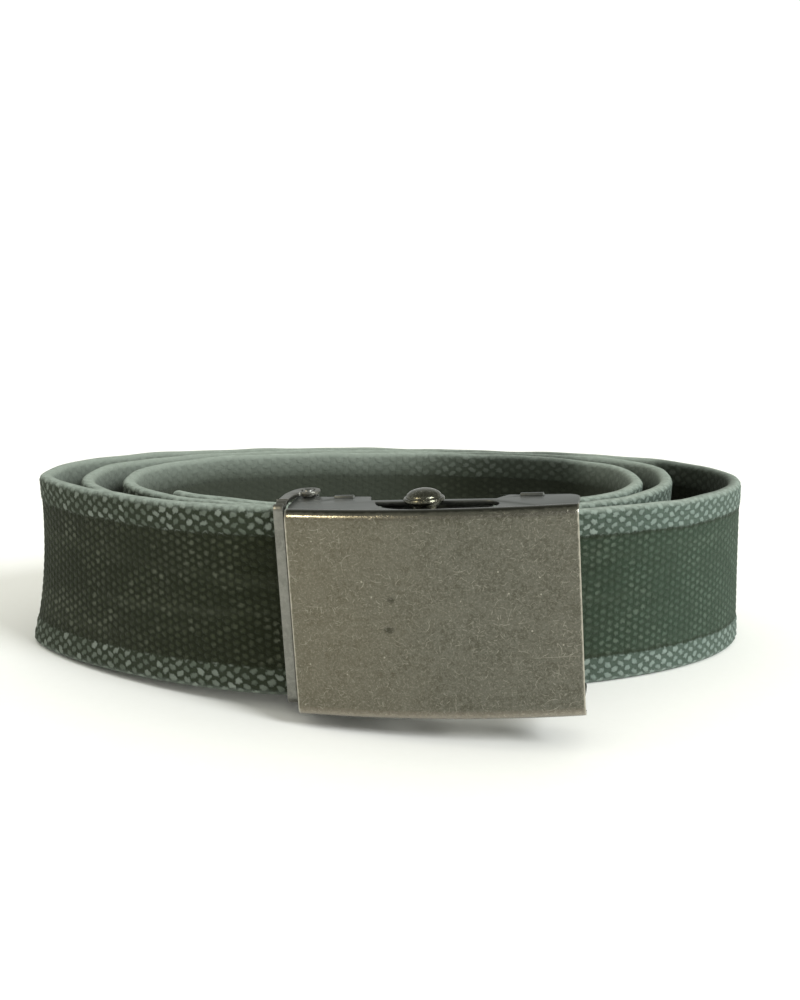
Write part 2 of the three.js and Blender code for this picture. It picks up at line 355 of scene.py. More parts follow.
def roll_back(
    grid: bpy.types.Object, reach: float, front: float, radius: float, steps: int, runs: list[float]
) -> None:
    """Bend the upper and lower edge of a grid back by a quarter turn, then draw them out.

    Args:
        grid: the upright grid.
        reach: the height of its upper edge.
        front: where it stands.
        radius: the radius of the bend.
        steps: how many faces go round it.
        runs: how far back each further step goes.
    """
    for sign in (1, -1):
        with editing(grid, Pick.EDGES, lambda co: abs(co.z - sign * reach) < TOUCH):
            centre = (0, front + radius, sign * reach)
            bpy.ops.mesh.spin(steps=steps, angle=sign * math.pi / 2, center=centre, axis=(1, 0, 0))
            for run in runs:
                bpy.ops.mesh.extrude_edges_move(TRANSFORM_OT_translate={"value": (0, run, 0)})
    with editing(grid, Pick.VERTS):
        bpy.ops.mesh.remove_doubles(threshold=TOUCH)
        bpy.ops.mesh.normals_make_consistent(inside=False)
        faces = bmesh.from_edit_mesh(grid.data).faces
        middle = min(faces, key=lambda face: face.calc_center_median().length)
        if middle.normal.y > 0:
            bpy.ops.mesh.flip_normals()


def add_sheet(name: str, outlines: list[list[Point]], low: float, high: float) -> bpy.types.Object:
    """A flat sheet cut to an outline, with holes, between two heights.

    Args:
        name: the new object's name.
        outlines: the outer outline first, then one for each hole.
        low: the height of its underside.
        high: the height of its upper side.

    Returns:
        The sheet as a closed mesh.
    """
    curve = bpy.data.curves.new(name, "CURVE")
    curve.dimensions = "2D"
    curve.fill_mode = "BOTH"
    curve.extrude = (high - low) / 2
    for outline in outlines:
        spline = curve.splines.new("POLY")
        spline.points.add(len(outline) - 1)
        for place, (x, y) in zip(spline.points, outline):
            place.co = (x, y, 0, 1)
        spline.use_cyclic_u = True
    sheet = bpy.data.objects.new(name, curve)
    bpy.context.scene.collection.objects.link(sheet)
    sheet.location = (0, 0, (low + high) / 2)
    take(sheet)
    bpy.ops.object.convert(target="MESH")
    bpy.ops.object.transform_apply(location=True, rotation=True, scale=True)
    with editing(sheet, Pick.VERTS):
        bpy.ops.mesh.remove_doubles(threshold=TOUCH / 2)
        bpy.ops.mesh.normals_make_consistent(inside=False)
    return sheet


def arc(centre: Point, radius: float, start: float, end: float, steps: int = 12) -> list[Point]:
    """Points along an arc, its angles in degrees."""
    turns = [math.radians(start + (end - start) * k / steps) for k in range(steps + 1)]
    return [(centre[0] + radius * math.cos(a), centre[1] + radius * math.sin(a)) for a in turns]


def bow(start: Point, control: Point, end: Point, steps: int = 10) -> list[Point]:
    """Points along a quadratic curve, without its first.

    Args:
        start: where it starts.
        control: the point that it bends towards.
        end: where it ends.
        steps: how many points it has.

    Returns:
        The points.
    """
    shares = [k / steps for k in range(1, steps + 1)]
    return [
        tuple((1 - t) ** 2 * a + 2 * t * (1 - t) * b + t**2 * c for a, b, c in zip(start, control, end))
        for t in shares
    ]


def unite(whole: bpy.types.Object, parts: list[bpy.types.Object]) -> bpy.types.Object:
    """Join closed parts that overlap into one closed piece.

    Args:
        whole: the part that takes the others in.
        parts: the others, which are used up.

    Returns:
        The whole.
    """
    for part in parts:
        union = whole.modifiers.new("union", "BOOLEAN")
        union.operation = "UNION"
        union.solver = "EXACT"
        union.object = part
        apply_all(whole)
        bpy.data.objects.remove(part)
    with editing(whole, Pick.VERTS):
        bpy.ops.mesh.remove_doubles(threshold=2 * TOUCH)
        bpy.ops.mesh.dissolve_degenerate(threshold=2 * TOUCH)
    return whole


def grow(rod: bpy.types.Object, place: Point, profile: list[Point]) -> None:
    """Draw out the round face at a rod's end along a profile.

    Args:
        rod: the rod.
        place: its axis.
        profile: the radius and height at each step, the first being where the face is now.
    """
    radius, at = profile[0]
    with editing(rod, Pick.FACES, lambda co: abs(co.z - profile[0][1]) < TOUCH):
        for next_radius, height in profile[1:]:
            bpy.ops.mesh.extrude_region_move(TRANSFORM_OT_translate={"value": (0, 0, height - at)})
            share = next_radius / radius
            bpy.ops.transform.resize(value=(share, share, 1), center_override=(*place, height))
            radius = next_radius
            at = height


def seat_on(piece: bpy.types.Object, node: str, body: str, slot: str, finish: bpy.types.Material) -> None:
    """Give a piece its finish, its CAD node and the body that carries it.

    Args:
        piece: the finished object.
        node: the CAD node that it stands for.
        body: the CAD body that it moves with.
        slot: the record's material slot.
        finish: its material.
    """
    piece.data.materials.clear()
    piece.data.materials.append(finish)
    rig.ride(piece, body)
    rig.replaces(piece, node)
    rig.slot(piece, slot)
    LOG.info("%s stands for %s with %d faces", piece.name, node, len(piece.data.polygons))


class Value:
    """A value inside a node tree, on which arithmetic adds nodes."""

    def __init__(self, graph: "Graph", socket: bpy.types.NodeSocket) -> None:
        """Hold one output of a node.

        Args:
            graph: the tree that it belongs to.
            socket: the output.
        """
        self.graph = graph
        self.socket = socket

    def __add__(self, other: "Feed") -> "Value":
        """The sum of this and another."""
        return self.graph.calc("ADD", self, other)

    def __sub__(self, other: "Feed") -> "Value":
        """This less another."""
        return self.graph.calc("SUBTRACT", self, other)

    def __rsub__(self, other: float) -> "Value":
        """A number less this."""
        return self.graph.calc("SUBTRACT", other, self)

    def __mul__(self, other: "Feed") -> "Value":
        """This times another."""
        return self.graph.calc("MULTIPLY", self, other)

    def __truediv__(self, other: "Feed") -> "Value":
        """This divided by another."""
        return self.graph.calc("DIVIDE", self, other)

    def __pow__(self, power: float) -> "Value":
        """This to a power."""
        return self.graph.calc("POWER", self, power)

    def __abs__(self) -> "Value":
        """This without its sign."""
        return self.graph.calc("ABSOLUTE", self)

    def __round__(self) -> "Value":
        """The nearest whole number."""
        return self.graph.calc("ROUND", self)

    def most(self, other: "Feed") -> "Value":
        """The greater of this and another."""
        return self.graph.calc("MAXIMUM", self, other)

    def ease(self, low: float, high: float, to_low: float = 0.0, to_high: float = 1.0) -> "Value":
        """A smooth step of this from one range to another.

        Args:
            low: where the step starts.
            high: where it ends.
            to_low: the result at the start.
            to_high: the result at the end.

        Returns:
            The result.
        """
        fed = dict(enumerate((self, low, high, to_low, to_high)))
        return self.graph.make("MapRange", fed, interpolation_type="SMOOTHSTEP")


Feed = Value | float
Inputs = dict[str | int, Feed | tuple]


class Graph:
    """A node tree and a small vocabulary to lay it out."""

    def __init__(self, tree: bpy.types.NodeTree) -> None:
        """Start with an empty tree."""
        self.tree = tree
        tree.nodes.clear()

    def feed(self, socket: bpy.types.NodeSocket, value: Feed | tuple) -> None:
        """Link a socket, or set its value.

        Args:
            socket: a node's input.
            value: what goes into it.
        """
        if isinstance(value, Value):
            self.tree.links.new(value.socket, socket)
        elif isinstance(value, tuple) and socket.type == "RGBA":
            socket.default_value = (*value, 1.0)
        else:
            socket.default_value = value

    def node(self, kind: str, fed: Inputs | None = None, **settings: str) -> bpy.types.Node:
        """Add a node.

        Args:
            kind: its type, without the start that all of them share.
            fed: what goes into its inputs.
            settings: its other settings.

        Returns:
            The node.
        """
        node = self.tree.nodes.new("ShaderNode" + kind)
        for name, setting in settings.items():
            setattr(node, name, setting)
        for key, value in (fed or {}).items():
            self.feed(node.inputs[key], value)
        return node

    def make(self, kind: str, fed: Inputs | None = None, output: str | int = 0, **settings: str) -> Value:
        """Add a node and take one of its outputs.

        Args:
            kind: its type.
            fed: what goes into its inputs.
            output: the output that is taken.
            settings: its other settings.

        Returns:
            The output.
        """
        return Value(self, self.node(kind, fed, **settings).outputs[output])

    def calc(self, operation: str, a: Feed, b: Feed = 0.0, c: Feed = 0.0) -> Value:
        """One step of arithmetic on up to three values."""
        return self.make("Math", dict(enumerate((a, b, c))), operation=operation)

    def join(self, x: Feed, y: Feed, z: Feed = 0.0) -> Value:
        """A vector from three values."""
        return self.make("CombineXYZ", dict(enumerate((x, y, z))))

    def split(self, vector: Value) -> list[Value]:
        """The three values of a vector."""
        return [Value(self, output) for output in self.node("SeparateXYZ", {0: vector}).outputs]

    def stretch(self, vector: Value, scale: Triple, turn: Triple = (0.0, 0.0, 0.0)) -> Value:
        """A vector turned by degrees, then scaled along each axis."""
        turned = self.make("Mapping", {"Vector": vector, "Rotation": tuple(math.radians(a) for a in turn)})
        return self.make("Mapping", {"Vector": turned, "Scale": scale})

    def noise(
        self, vector: Value, scale: float, detail: float = 2.0, rough: float = 0.5, distortion: float = 0.0
    ) -> Value:
        """Cloudy noise from 0 to 1.

        Args:
            vector: the place to look it up.
            scale: how many features there are to a unit.
            detail: how many finer layers are added.
            rough: how strong the finer layers are.
            distortion: how much it is swirled.

        Returns:
            The noise.
        """
        fed = {"Vector": vector, "Scale": scale, "Detail": detail, "Roughness": rough}
        return self.make("TexNoise", {**fed, "Distortion": distortion}, "Fac")

    def cells(self, vector: Value, scale: float, dimensions: str = "3D") -> dict[str, Value]:
        """Scattered points: the distance to the nearest one, its place and its own colour, by name."""
        node = self.node("TexVoronoi", {"Vector": vector, "Scale": scale}, voronoi_dimensions=dimensions)
        return {output.name: Value(self, output) for output in node.outputs}

    def blend(self, share: Feed, first: Value | Colour, second: Value | Colour) -> Value:
        """A colour between two others."""
        return self.make("Mix", {0: share, 6: first, 7: second}, 2, data_type="RGBA")


class Shade(Graph):
    """A material in the making."""

    def __init__(self, name: str) -> None:
        """Start an empty material of this name."""
        self.material = bpy.data.materials.new(name)
        self.material.use_nodes = True
        super().__init__(self.material.node_tree)

    def relief(self, height: Value, depth: float) -> Value:
        """A bumped normal, where a height of 1 is so many metres deep."""
        return self.make("Bump", {"Strength": 1.0, "Distance": depth, "Height": height})

    def place_in_buckle(self) -> Value:
        """The surface's place in the buckle's own axes.

        Returns:
            The place, in millimetres.
        """
        fed = {
            "Vector": self.make("TexCoord", output="Object"),
            "Location": tuple(MM * x for x in SEAT.place),
            "Rotation": tuple(SEAT.turn().to_euler("XYZ")),
            "Scale": (MM, MM, MM),
        }
        return self.make("Mapping", fed, vector_type="TEXTURE")

    def finish(self, fed: Inputs) -> bpy.types.Material:
        """Put the shader with these inputs on the material, and return it."""
        self.node("OutputMaterial", {"Surface": self.make("BsdfPrincipled", fed)})
        return self.material


@dataclass(frozen=True)
class WeavePitch:
    """The spacing of the web's raised slubs, in millimetres: columns along the web, rows across it."""

    column: float = 1.72
    centre_row: float = 0.87
    band_row: float = 1.14
    centre_half: Point = (0.80, 0.62)
    band_half: Point = (0.96, 0.72)
    band_lean: float = 0.26
    band_start: float = 13.6
    band_origin: float = 14.5
    face_half: float = 20.6


PITCH = WeavePitch()


@dataclass(frozen=True)
class CottonWeave:
    """Washed cotton web: dark pearled middle, paler worn selvedges with slanted slubs, with painted light and shade.
    """

    gap: Colour = (0.012, 0.015, 0.006)
    pearl: Colour = (0.040, 0.047, 0.026)
    worn_pearl: Colour = (0.112, 0.122, 0.090)
    band_gap: Colour = (0.026, 0.033, 0.020)
    slub: Colour = (0.100, 0.120, 0.094)
    worn_slub: Colour = (0.225, 0.255, 0.222)
    # A pale tone for the worn edges, also used for the painted highlight along the top edge.
    edge: Colour = (0.330, 0.385, 0.345)
    # Painted light and wash: the paler tones the web takes towards its right side, where the light falls.
    lit_and_washed: Colour = (0.080, 0.129, 0.100)
    lit_and_washed_gap: Colour = (0.045, 0.074, 0.052)
    lit_and_washed_slub: Colour = (0.215, 0.280, 0.255)
    lit_and_washed_band: Colour = (0.095, 0.135, 0.113)
    # Tones of the turns' inner face for its painted light: darker below, paler at the upper band.
    inner_low: Colour = (0.052, 0.060, 0.047)
    inner_band: Colour = (0.250, 0.290, 0.255)
    # Painted shade: near black, for the web inside the clamp and for the inner face's right end.
    held: Colour = (0.008, 0.009, 0.007)
    sheen: Colour = (0.78, 0.86, 0.80)
    reverse_start: Point = (40.0, 42.5)
    reverse_end: Point = (79.5, 82.0)
    rim: Point = (18.0, 19.2)
    # Where the painted highlight along the top edge begins and where it is full, in millimetres across the web.
    top_edge_highlight: Point = (18.6, 19.9)
    clamp_edge: Point = (16.6, 17.8)
    relief_depth: float = 0.00042
    pearl_relief: float = 0.50
    slub_relief: float = 0.85
    band_relief: float = 0.35
    fibre_relief: float = 0.34
    fuzz_relief: float = 0.30

    def slubs(
        self, shade: Shade, along: Value, across: Value, row: float, half: Point, lean: float
    ) -> tuple[Value, Value]:
        """One staggered field of slubs.

        Args:
            shade: the material in the making.
            along: millimetres along the web.
            across: millimetres across it, from the middle of the face.
            row: the offset from one row to the next.
            half: a slub's half length and half width.
            lean: how much a slub slants, turned about from column to column.

        Returns:
            The height from 0 to 1, and one random value for each slub.
        """
        column = round(along / PITCH.column)
        beside = along - column * PITCH.column
        parity = shade.calc("PINGPONG", column, 1.0)
        slant = (parity * (2 * lean) - lean) * beside
        level = (across + slant) / (2 * row) + parity * 0.5
        place = round(level)
        above = (level - place) * (2 * row)
        which = shade.join(column, place, row)
        dice = shade.make("TexWhiteNoise", {"Vector": which}, noise_dimensions="3D")
        reach = ((beside / half[0]) ** 2.0 + (above / half[1]) ** 2.0) / (dice * 0.35 + 0.85)
        return (1.0 - reach).most(0.0), dice

    def inner_face(
        self, shade: Shade, tint: Value, across: Value, sideways: Value, reverse: Value
    ) -> Value:
        """Painted light and shade on the inside of the turns: paler and softer at the left and at the eye, painted
        shade at its right end.

        Args:
            shade: the material in the making.
            tint: the colour so far.
            across: millimetres across the web.
            sideways: how far to the right the surface is, in metres.
            reverse: 1 on the web's inner face.

        Returns:
            The colour with the inner face's own tones.
        """
        # Painted light: paler at the left, where light from the right reaches the inside, and at the eye near the
        # right end.
        near_right = sideways.ease(0.040, 0.050) * sideways.ease(0.062, 0.068, 1.0, 0.0)
        inside_light = reverse * (near_right * 0.55 + sideways.ease(-0.010, 0.024, 0.78, 0.10))
        inner = shade.blend(across.ease(12.3, 20.5), self.inner_low, self.inner_band)
        tint = shade.blend(inside_light, tint, inner)
        # Painted shade towards the right end of the inner face, except at the eye.
        shaded = reverse * sideways.ease(0.0, 0.030, 0.0, 0.55) * (1.0 - near_right)
        return shade.blend(shaded, tint, self.held)

    def material(self) -> bpy.types.Material:
        """The web's material, laid out on the web's own map.

        Returns:
            The material.
        """
        shade = Shade("cotton_weave")
        along, round_web, _ = shade.split(shade.make("UVMap", uv_map=WEB_MAP))
        along = along * MAP_UNIT
        round_web = round_web * MAP_UNIT
        place = shade.join(along, round_web)
        crosswise = shade.join(round_web, along)
        wobble = shade.noise(place, 0.35, 2.0) - 0.5
        ragged = shade.noise(place, 1.5, 3.0, 0.6) - 0.5
        drift = shade.noise(crosswise, 0.28, 3.0, 0.6) - 0.5
        shaken = shade.noise(crosswise, 1.3, 3.0, 0.6) - 0.5
        across = shade.calc("PINGPONG", round_web, 2 * PITCH.face_half) - PITCH.face_half
        across = across + wobble * 0.8 + ragged * 1.15
        reverse = round_web.ease(*self.reverse_start) * round_web.ease(*self.reverse_end, 1.0, 0.0)
        calm = 1.0 - reverse * 0.6
        outward = abs(across)
        band = outward.ease(PITCH.band_start - 0.35, PITCH.band_start + 0.55)
        rim = outward.ease(*self.rim)
        # Painted highlight along the top edge only, broken up by noise.
        top_edge_highlight = across.ease(*self.top_edge_highlight) * shade.noise(place, 0.45, 3.0, 0.6).ease(0.3, 0.7, 0.45, 0.9)

        thread = along + drift * 1.3 + shaken
        pearl, pearl_dice = self.slubs(shade, thread, across, PITCH.centre_row, PITCH.centre_half, 0.0)
        slub, slub_dice = self.slubs(
            shade, thread, outward - PITCH.band_origin, PITCH.band_row, PITCH.band_half, PITCH.band_lean
        )
        fibres = shade.noise(shade.stretch(place, (1.6, 7.0, 1.0), (0, 0, 12)), 1.0, 3.0, 0.6)
        fuzz = shade.noise(place, 5.0, 3.0, 0.65)
        patches = shade.noise(place, 0.055, 3.0, 0.55)
        streaks = shade.noise(shade.stretch(place, (0.02, 0.32, 1.0)), 1.0, 2.0, 0.5)
        sideways = shade.split(shade.make("TexCoord", output="Object"))[0]
        # Painted light and wash: the web grows paler towards its right side, less so on its inner face.
        lit_and_washed = (wobble * 0.03 + sideways).ease(-0.005, 0.075, 0.0, 0.62) * (1.0 - reverse * 0.85)

        tone = shade.blend((pearl_dice * 0.30 + patches).ease(0.56, 0.92), self.pearl, self.worn_pearl)
        tone = shade.blend(fuzz.ease(0.35, 0.8, 0.0, 0.45), tone, self.gap)
        clear = shade.noise(place, 0.13, 3.0, 0.6).ease(0.38, 0.62, 0.35, 1.0)
        shown = pearl.ease(0.05, 1.0) * clear * calm
        centre = shade.blend(shown, self.gap, tone)
        centre = shade.blend(streaks.ease(0.45, 0.75, 0.0, 0.12), centre, self.worn_pearl)
        centre = shade.blend(lit_and_washed, centre, shade.blend(shown, self.lit_and_washed_gap, self.lit_and_washed))

        tone = shade.blend((slub_dice * 0.5 + patches).ease(0.60, 1.10), self.slub, self.worn_slub)
        tone = shade.blend(fuzz.ease(0.35, 0.8, 0.0, 0.35), tone, self.band_gap)
        shown = slub.ease(0.0, 0.75) * calm
        selvedge = shade.blend(shown, self.band_gap, tone)
        pale = shade.blend(shown, self.lit_and_washed_band, self.lit_and_washed_slub)
        selvedge = shade.blend(lit_and_washed * 1.15, selvedge, pale)
        selvedge = shade.blend(rim * 0.25, selvedge, self.edge)
        # Painted highlight on the top edge.
        selvedge = shade.blend(top_edge_highlight, selvedge, self.edge)

        tint = shade.blend(band, centre, selvedge)
        # Painted shade: a dark line along the inner edge of each band, where the band's step shades the middle.
        band_edge_shade = outward.ease(PITCH.band_start - 1.0, PITCH.band_start - 0.1)
        band_edge_shade = band_edge_shade * outward.ease(PITCH.band_start, PITCH.band_start + 0.3, 1.0, 0.0)
        tint = shade.blend(band_edge_shade * 0.55, tint, self.gap)
        # Painted shade: the web inside the clamp is made nearly black.
        clamp_shade = along.ease(*self.clamp_edge, 0.93, 0.0)
        tint = shade.blend(clamp_shade, self.inner_face(shade, tint, across, sideways, reverse), self.held)

        centre_height = shade.calc("SQRT", pearl) * self.pearl_relief * calm
        band_height = shade.calc("SQRT", slub) * self.slub_relief * calm * (1.0 - rim * 0.4)
        weave = centre_height + band * (band_height - centre_height) + band * self.band_relief
        weave = weave + fibres * self.fibre_relief + fuzz * self.fuzz_relief
        return shade.finish({
            "Base Color": tint,
            "Normal": shade.relief(weave, self.relief_depth),
            "Roughness": 0.92,
            "Specular IOR Level": 0.12,
            "Sheen Weight": 0.10,
            "Sheen Roughness": 0.45,
            "Sheen Tint": self.sheen,
        })


@dataclass(frozen=True)
class AgedMetal:
    """Aged metal with a mottled patina, short curved scratches and pits; on the cover plate also rubbed folds, a
    painted highlight along its side edges and painted shade along its folds' tops.
    """

    name: str
    dark: Colour
    body: Colour
    light: Colour
    bright: Colour
    rough: float = 0.42
    mottle: float = 0.24
    scratches: float = 0.5
    pits: float = 0.5
    grain_depth: float = 0.000012
    # The cover plate's marks of use, together with its painted highlight and painted shade.
    plate_wear_and_light: bool = False
    warm: Colour = (0.230, 0.190, 0.120)
    stain_and_seam_shade: Colour = (0.030, 0.030, 0.021)
    # A dark tone for the stains, also used for the painted shade along the top of each fold.
    rosy: Colour = (0.340, 0.290, 0.235)
    stains: tuple[Triple, ...] = ((-7.4, 3.4, 0.55), (-8.1, -2.3, 0.75))
    long_cuts: tuple[Triple, ...] = ((17.4, 26.8, -8.0), (-24.5, -20.5, 1.8))
    short_cuts: tuple[tuple[float, ...], ...] = (
        (0.45, 0.85, 0.085, 0.0),
        (0.70, 0.6, 0.085, 31.0),
        (0.95, 0.42, 0.08, 57.0),
        (0.26, 1.5, 0.09, 83.0),
    )

    def hairlines(self, shade: Shade, place: Value, scale: float, width: float, start: float) -> Value:
        """Short curved hairlines, made from the level lines of a swirled noise.

        Args:
            shade: the material in the making.
            place: where the surface is, in millimetres.
            scale: how many lines there are to a millimetre.
            width: how wide a line is, as a share of the noise.
            start: above this share of a second noise the lines show.

        Returns:
            Their strength from 0 to 1.
        """
        line = abs(shade.noise(place, scale, 1.5, 0.5, 2.2) - 0.5).ease(0.0, width, 1.0, 0.0)
        return line * shade.noise(place, scale * 1.7, 2.0).ease(start, start + 0.12)

    def material(self) -> bpy.types.Material:
        """The metal's material, laid out in the buckle's own axes.

        Returns:
            The material.
        """
        shade = Shade(self.name)
        place = shade.place_in_buckle()
        clouds = shade.noise(place, self.mottle, 4.0, 0.6)
        mottles = shade.noise(place, self.mottle * 6.0, 4.0, 0.65, 0.6)
        grain = shade.noise(place, 7.0, 3.0, 0.7)
        tone = shade.blend(clouds.ease(0.3, 0.7), self.dark, self.body)
        tone = shade.blend(mottles.ease(0.36, 0.66), tone, self.light)
        tone = shade.blend(grain.ease(0.45, 0.75, 0.0, 0.35), tone, self.dark)

        fine = self.hairlines(shade, place, 1.0, 0.020, 0.46)
        turned = shade.stretch(place, (1.0, 1.0, 1.0), (17, 31, 53))
        broad = self.hairlines(shade, turned, 0.55, 0.012, 0.5)
        rising = shade.noise(shade.stretch(place, (0.35, 6.0, 6.0), (0, 24, 0)), 1.0, 1.0)
        falling = shade.noise(shade.stretch(place, (0.3, 5.0, 5.0), (0, -63, 0)), 1.0, 1.0)
        scuffs = rising.ease(0.70, 0.80).most(falling.ease(0.71, 0.80))
        marks = fine.most(broad).most(scuffs * 0.6) * self.scratches
        tone = shade.blend(marks, tone, self.bright)

        spots = shade.cells(place, 0.55)
        chance = shade.split(spots["Color"])[0]
        bright_spot = spots["Distance"].ease(0.05, 0.13, 1.0, 0.0) * chance.ease(0.72, 0.8)
        dark_spot = spots["Distance"].ease(0.06, 0.24, 1.0, 0.0) * chance.ease(0.18, 0.08)
        tone = shade.blend(bright_spot * (0.8 * self.pits), tone, self.bright)
        tone = shade.blend(dark_spot * self.pits, tone, self.dark)
        rough = mottles * 0.16 + (self.rough - 0.08)
        if self.plate_wear_and_light:
            tone, cuts = self.used_face(shade, place, tone)
            marks = marks.most(cuts)
            tone, rough = self.rubbed_and_lit_edges(shade, place, tone, rough)
        height = mottles * 0.6 + grain * 0.4 - marks * 0.8
        normal = shade.relief(height, self.grain_depth)
        return shade.finish({"Base Color": tone, "Roughness": rough, "Normal": normal, "Metallic": 1.0})

    def arcs(self, shade: Shade, flat: Value, scale: float, length: float, width: float) -> Value:
        """Separate short curved scratches, one to each cell of a scattered pattern.

        Args:
            shade: the material in the making.
            flat: where the surface is on the plate's face, in millimetres.
            scale: how many cells there are to a millimetre.
            length: half a scratch's length, in millimetres.
            width: its width, in millimetres.

        Returns:
            Their strength from 0 to 1.
        """
        field = shade.cells(flat, scale, "2D")
        middle_x, middle_y, _ = shade.split(field["Position"])
        x, y, _ = shade.split(flat)
        turn, bend, strength = shade.split(field["Color"])
        off_x = x - middle_x
        off_y = y - middle_y
        cosine = shade.calc("COSINE", turn * math.pi)
        sine = shade.calc("SINE", turn * math.pi)
        run = off_x * cosine + off_y * sine
        aside = off_y * cosine - off_x * sine - (bend * 0.9 - 0.45) * (run * run)
        line = abs(aside).ease(width * 0.3, width, 1.0, 0.0)
        ends = abs(run).ease(length * 0.5, length, 1.0, 0.0)
        return line * ends * strength.ease(0.38, 1.0)

    def used_face(self, shade: Shade, place: Value, tone: Value) -> tuple[Value, Value]:
        """The marks of long use on the plate's face: scratches, two stains and a warmer left side.

        Args:
            shade: the material in the making.
            place: where the surface is, in millimetres.
            tone: the colour so far.

        Returns:
            The colour with the marks, and the scratches' strength.
        """
        x, _, z = shade.split(place)
        flat = shade.join(x, z)
        layers = [
            self.arcs(shade, shade.join(x + shift, z - shift), scale, length, width)
            for scale, length, width, shift in self.short_cuts
        ]
        cuts = layers[0]
        for layer in layers[1:]:
            cuts = cuts.most(layer)
        cuts = cuts * shade.noise(flat, 0.12, 3.0, 0.6).ease(0.35, 0.65, 0.25, 1.0)
        for low, high, level in self.long_cuts:
            near = abs(z - level).ease(0.03, 0.08, 0.75, 0.0)
            cuts = cuts.most(near * x.ease(low, low + 1.5) * x.ease(high - 0.5, high, 1.0, 0.0))
        warm = (shade.noise(flat, 0.1, 2.0) * 14.0 + x).ease(-22.0, 18.0, 0.45, 0.0)
        tone = shade.blend(warm, tone, shade.blend(0.5, tone, self.warm))
        for stain_x, stain_z, size in self.stains:
            away = ((x - stain_x) / (size * 1.4)) ** 2.0 + ((z - stain_z) / size) ** 2.0
            ragged = shade.noise(flat, 2.0, 3.0) * 1.4 + away
            tone = shade.blend(ragged.ease(0.7, 2.2, 0.7, 0.0), tone, self.stain_and_seam_shade)
        speckle = shade.noise(flat, 2.6, 4.0, 0.75)
        tone = shade.blend(speckle.ease(0.5, 0.72, 0.0, 0.30), tone, self.bright)
        tone = shade.blend(speckle.ease(0.28, 0.46, 0.45, 0.0), tone, self.dark)
        return shade.blend(cuts * 0.42, tone, self.bright), cuts

    def rubbed_and_lit_edges(self, shade: Shade, place: Value, tone: Value, rough: Value) -> tuple[Value, Value]:
        """Rubbed folds of the cover plate, with a painted highlight along its side edges and painted shade along the
        top of each fold.

        Args:
            shade: the material in the making.
            place: where the surface is, in millimetres.
            tone: the colour so far.
            rough: the roughness so far.

        Returns:
            The colour and the roughness with the rubbed places.
        """
        x, _, z = shade.split(place)
        ragged = shade.noise(place, 0.9, 3.0, 0.6)
        # Painted highlight: the side edges are made pale, as if catching the light.
        side = ((ragged - 0.5) * 0.5 + abs(x)).ease(26.75, 27.15)
        fold = ((ragged - 0.5) * 1.6 + abs(z)).ease(18.4, 19.2)
        scuff = shade.noise(shade.stretch(place, (0.9, 2.2, 2.2)), 1.0, 3.0, 0.7).ease(0.52, 0.66)
        scuff = scuff * x.ease(4.0, 12.0, 0.15, 1.0)
        # Painted shade: a dark line along the top of each fold, where it meets the flange.
        fold_top_shade = (ragged * 0.5 + abs(z)).ease(19.65, 20.05)
        for share, colour in (
            (fold * 0.30, self.bright),
            (fold * scuff * 0.7, self.bright),
            (fold_top_shade * 0.8, self.stain_and_seam_shade),
            (z.ease(-17.6, -18.8, 0.0, 0.34), self.rosy),
            (side * 0.85, self.bright),
        ):
            tone = shade.blend(share, tone, colour)
        return tone, rough - fold * 0.24


PEWTER = AgedMetal(
    name="aged_pewter",
    dark=(0.086, 0.084, 0.064),
    body=(0.122, 0.119, 0.095),
    light=(0.150, 0.147, 0.121),
    bright=(0.500, 0.475, 0.400),
    rough=0.42,
    scratches=0.16,
    pits=0.8,
    grain_depth=0.000020,
    plate_wear_and_light=True,
)
GUNMETAL = AgedMetal(
    name="satin_gunmetal",
    dark=(0.130, 0.135, 0.125),
    body=(0.165, 0.172, 0.160),
    light=(0.185, 0.192, 0.180),
    bright=(0.420, 0.430, 0.400),
    rough=0.36,
    mottle=0.12,
    scratches=0.16,
    pits=0.15,
    grain_depth=0.000008,
)
BROWNED = AgedMetal(
    name="browned_steel",
    dark=(0.158, 0.158, 0.140),
    body=(0.205, 0.203, 0.182),
    light=(0.240, 0.238, 0.214),
    bright=(0.520, 0.490, 0.420),
    rough=0.36,
    mottle=0.12,
    scratches=0.14,
    pits=0.15,
    grain_depth=0.000005,
)
PIN_STEEL = AgedMetal(
    name="pin_steel",
    dark=(0.16, 0.16, 0.15),
    body=(0.25, 0.25, 0.235),
    light=(0.33, 0.33, 0.31),
    bright=(0.66, 0.66, 0.62),
    rough=0.34,
    scratches=0.2,
    pits=0.2,
)
POLISHED = AgedMetal(
    name="worn_polished_steel",
    dark=(0.046, 0.046, 0.031),
    body=(0.092, 0.091, 0.068),
    light=(0.170, 0.166, 0.132),
    bright=(0.700, 0.680, 0.600),
    rough=0.22,
    mottle=0.4,
    scratches=0.4,
    pits=0.5,
    grain_depth=0.000015,
)


def smooth(share: np.ndarray) -> np.ndarray:
    """A smooth step of shares from 0 to 1."""
    return share * share * (3 - 2 * share)


def unit(ways: np.ndarray) -> np.ndarray:
    """Vectors brought to a length of 1."""
    return ways / np.linalg.norm(ways, axis=1, keepdims=True)


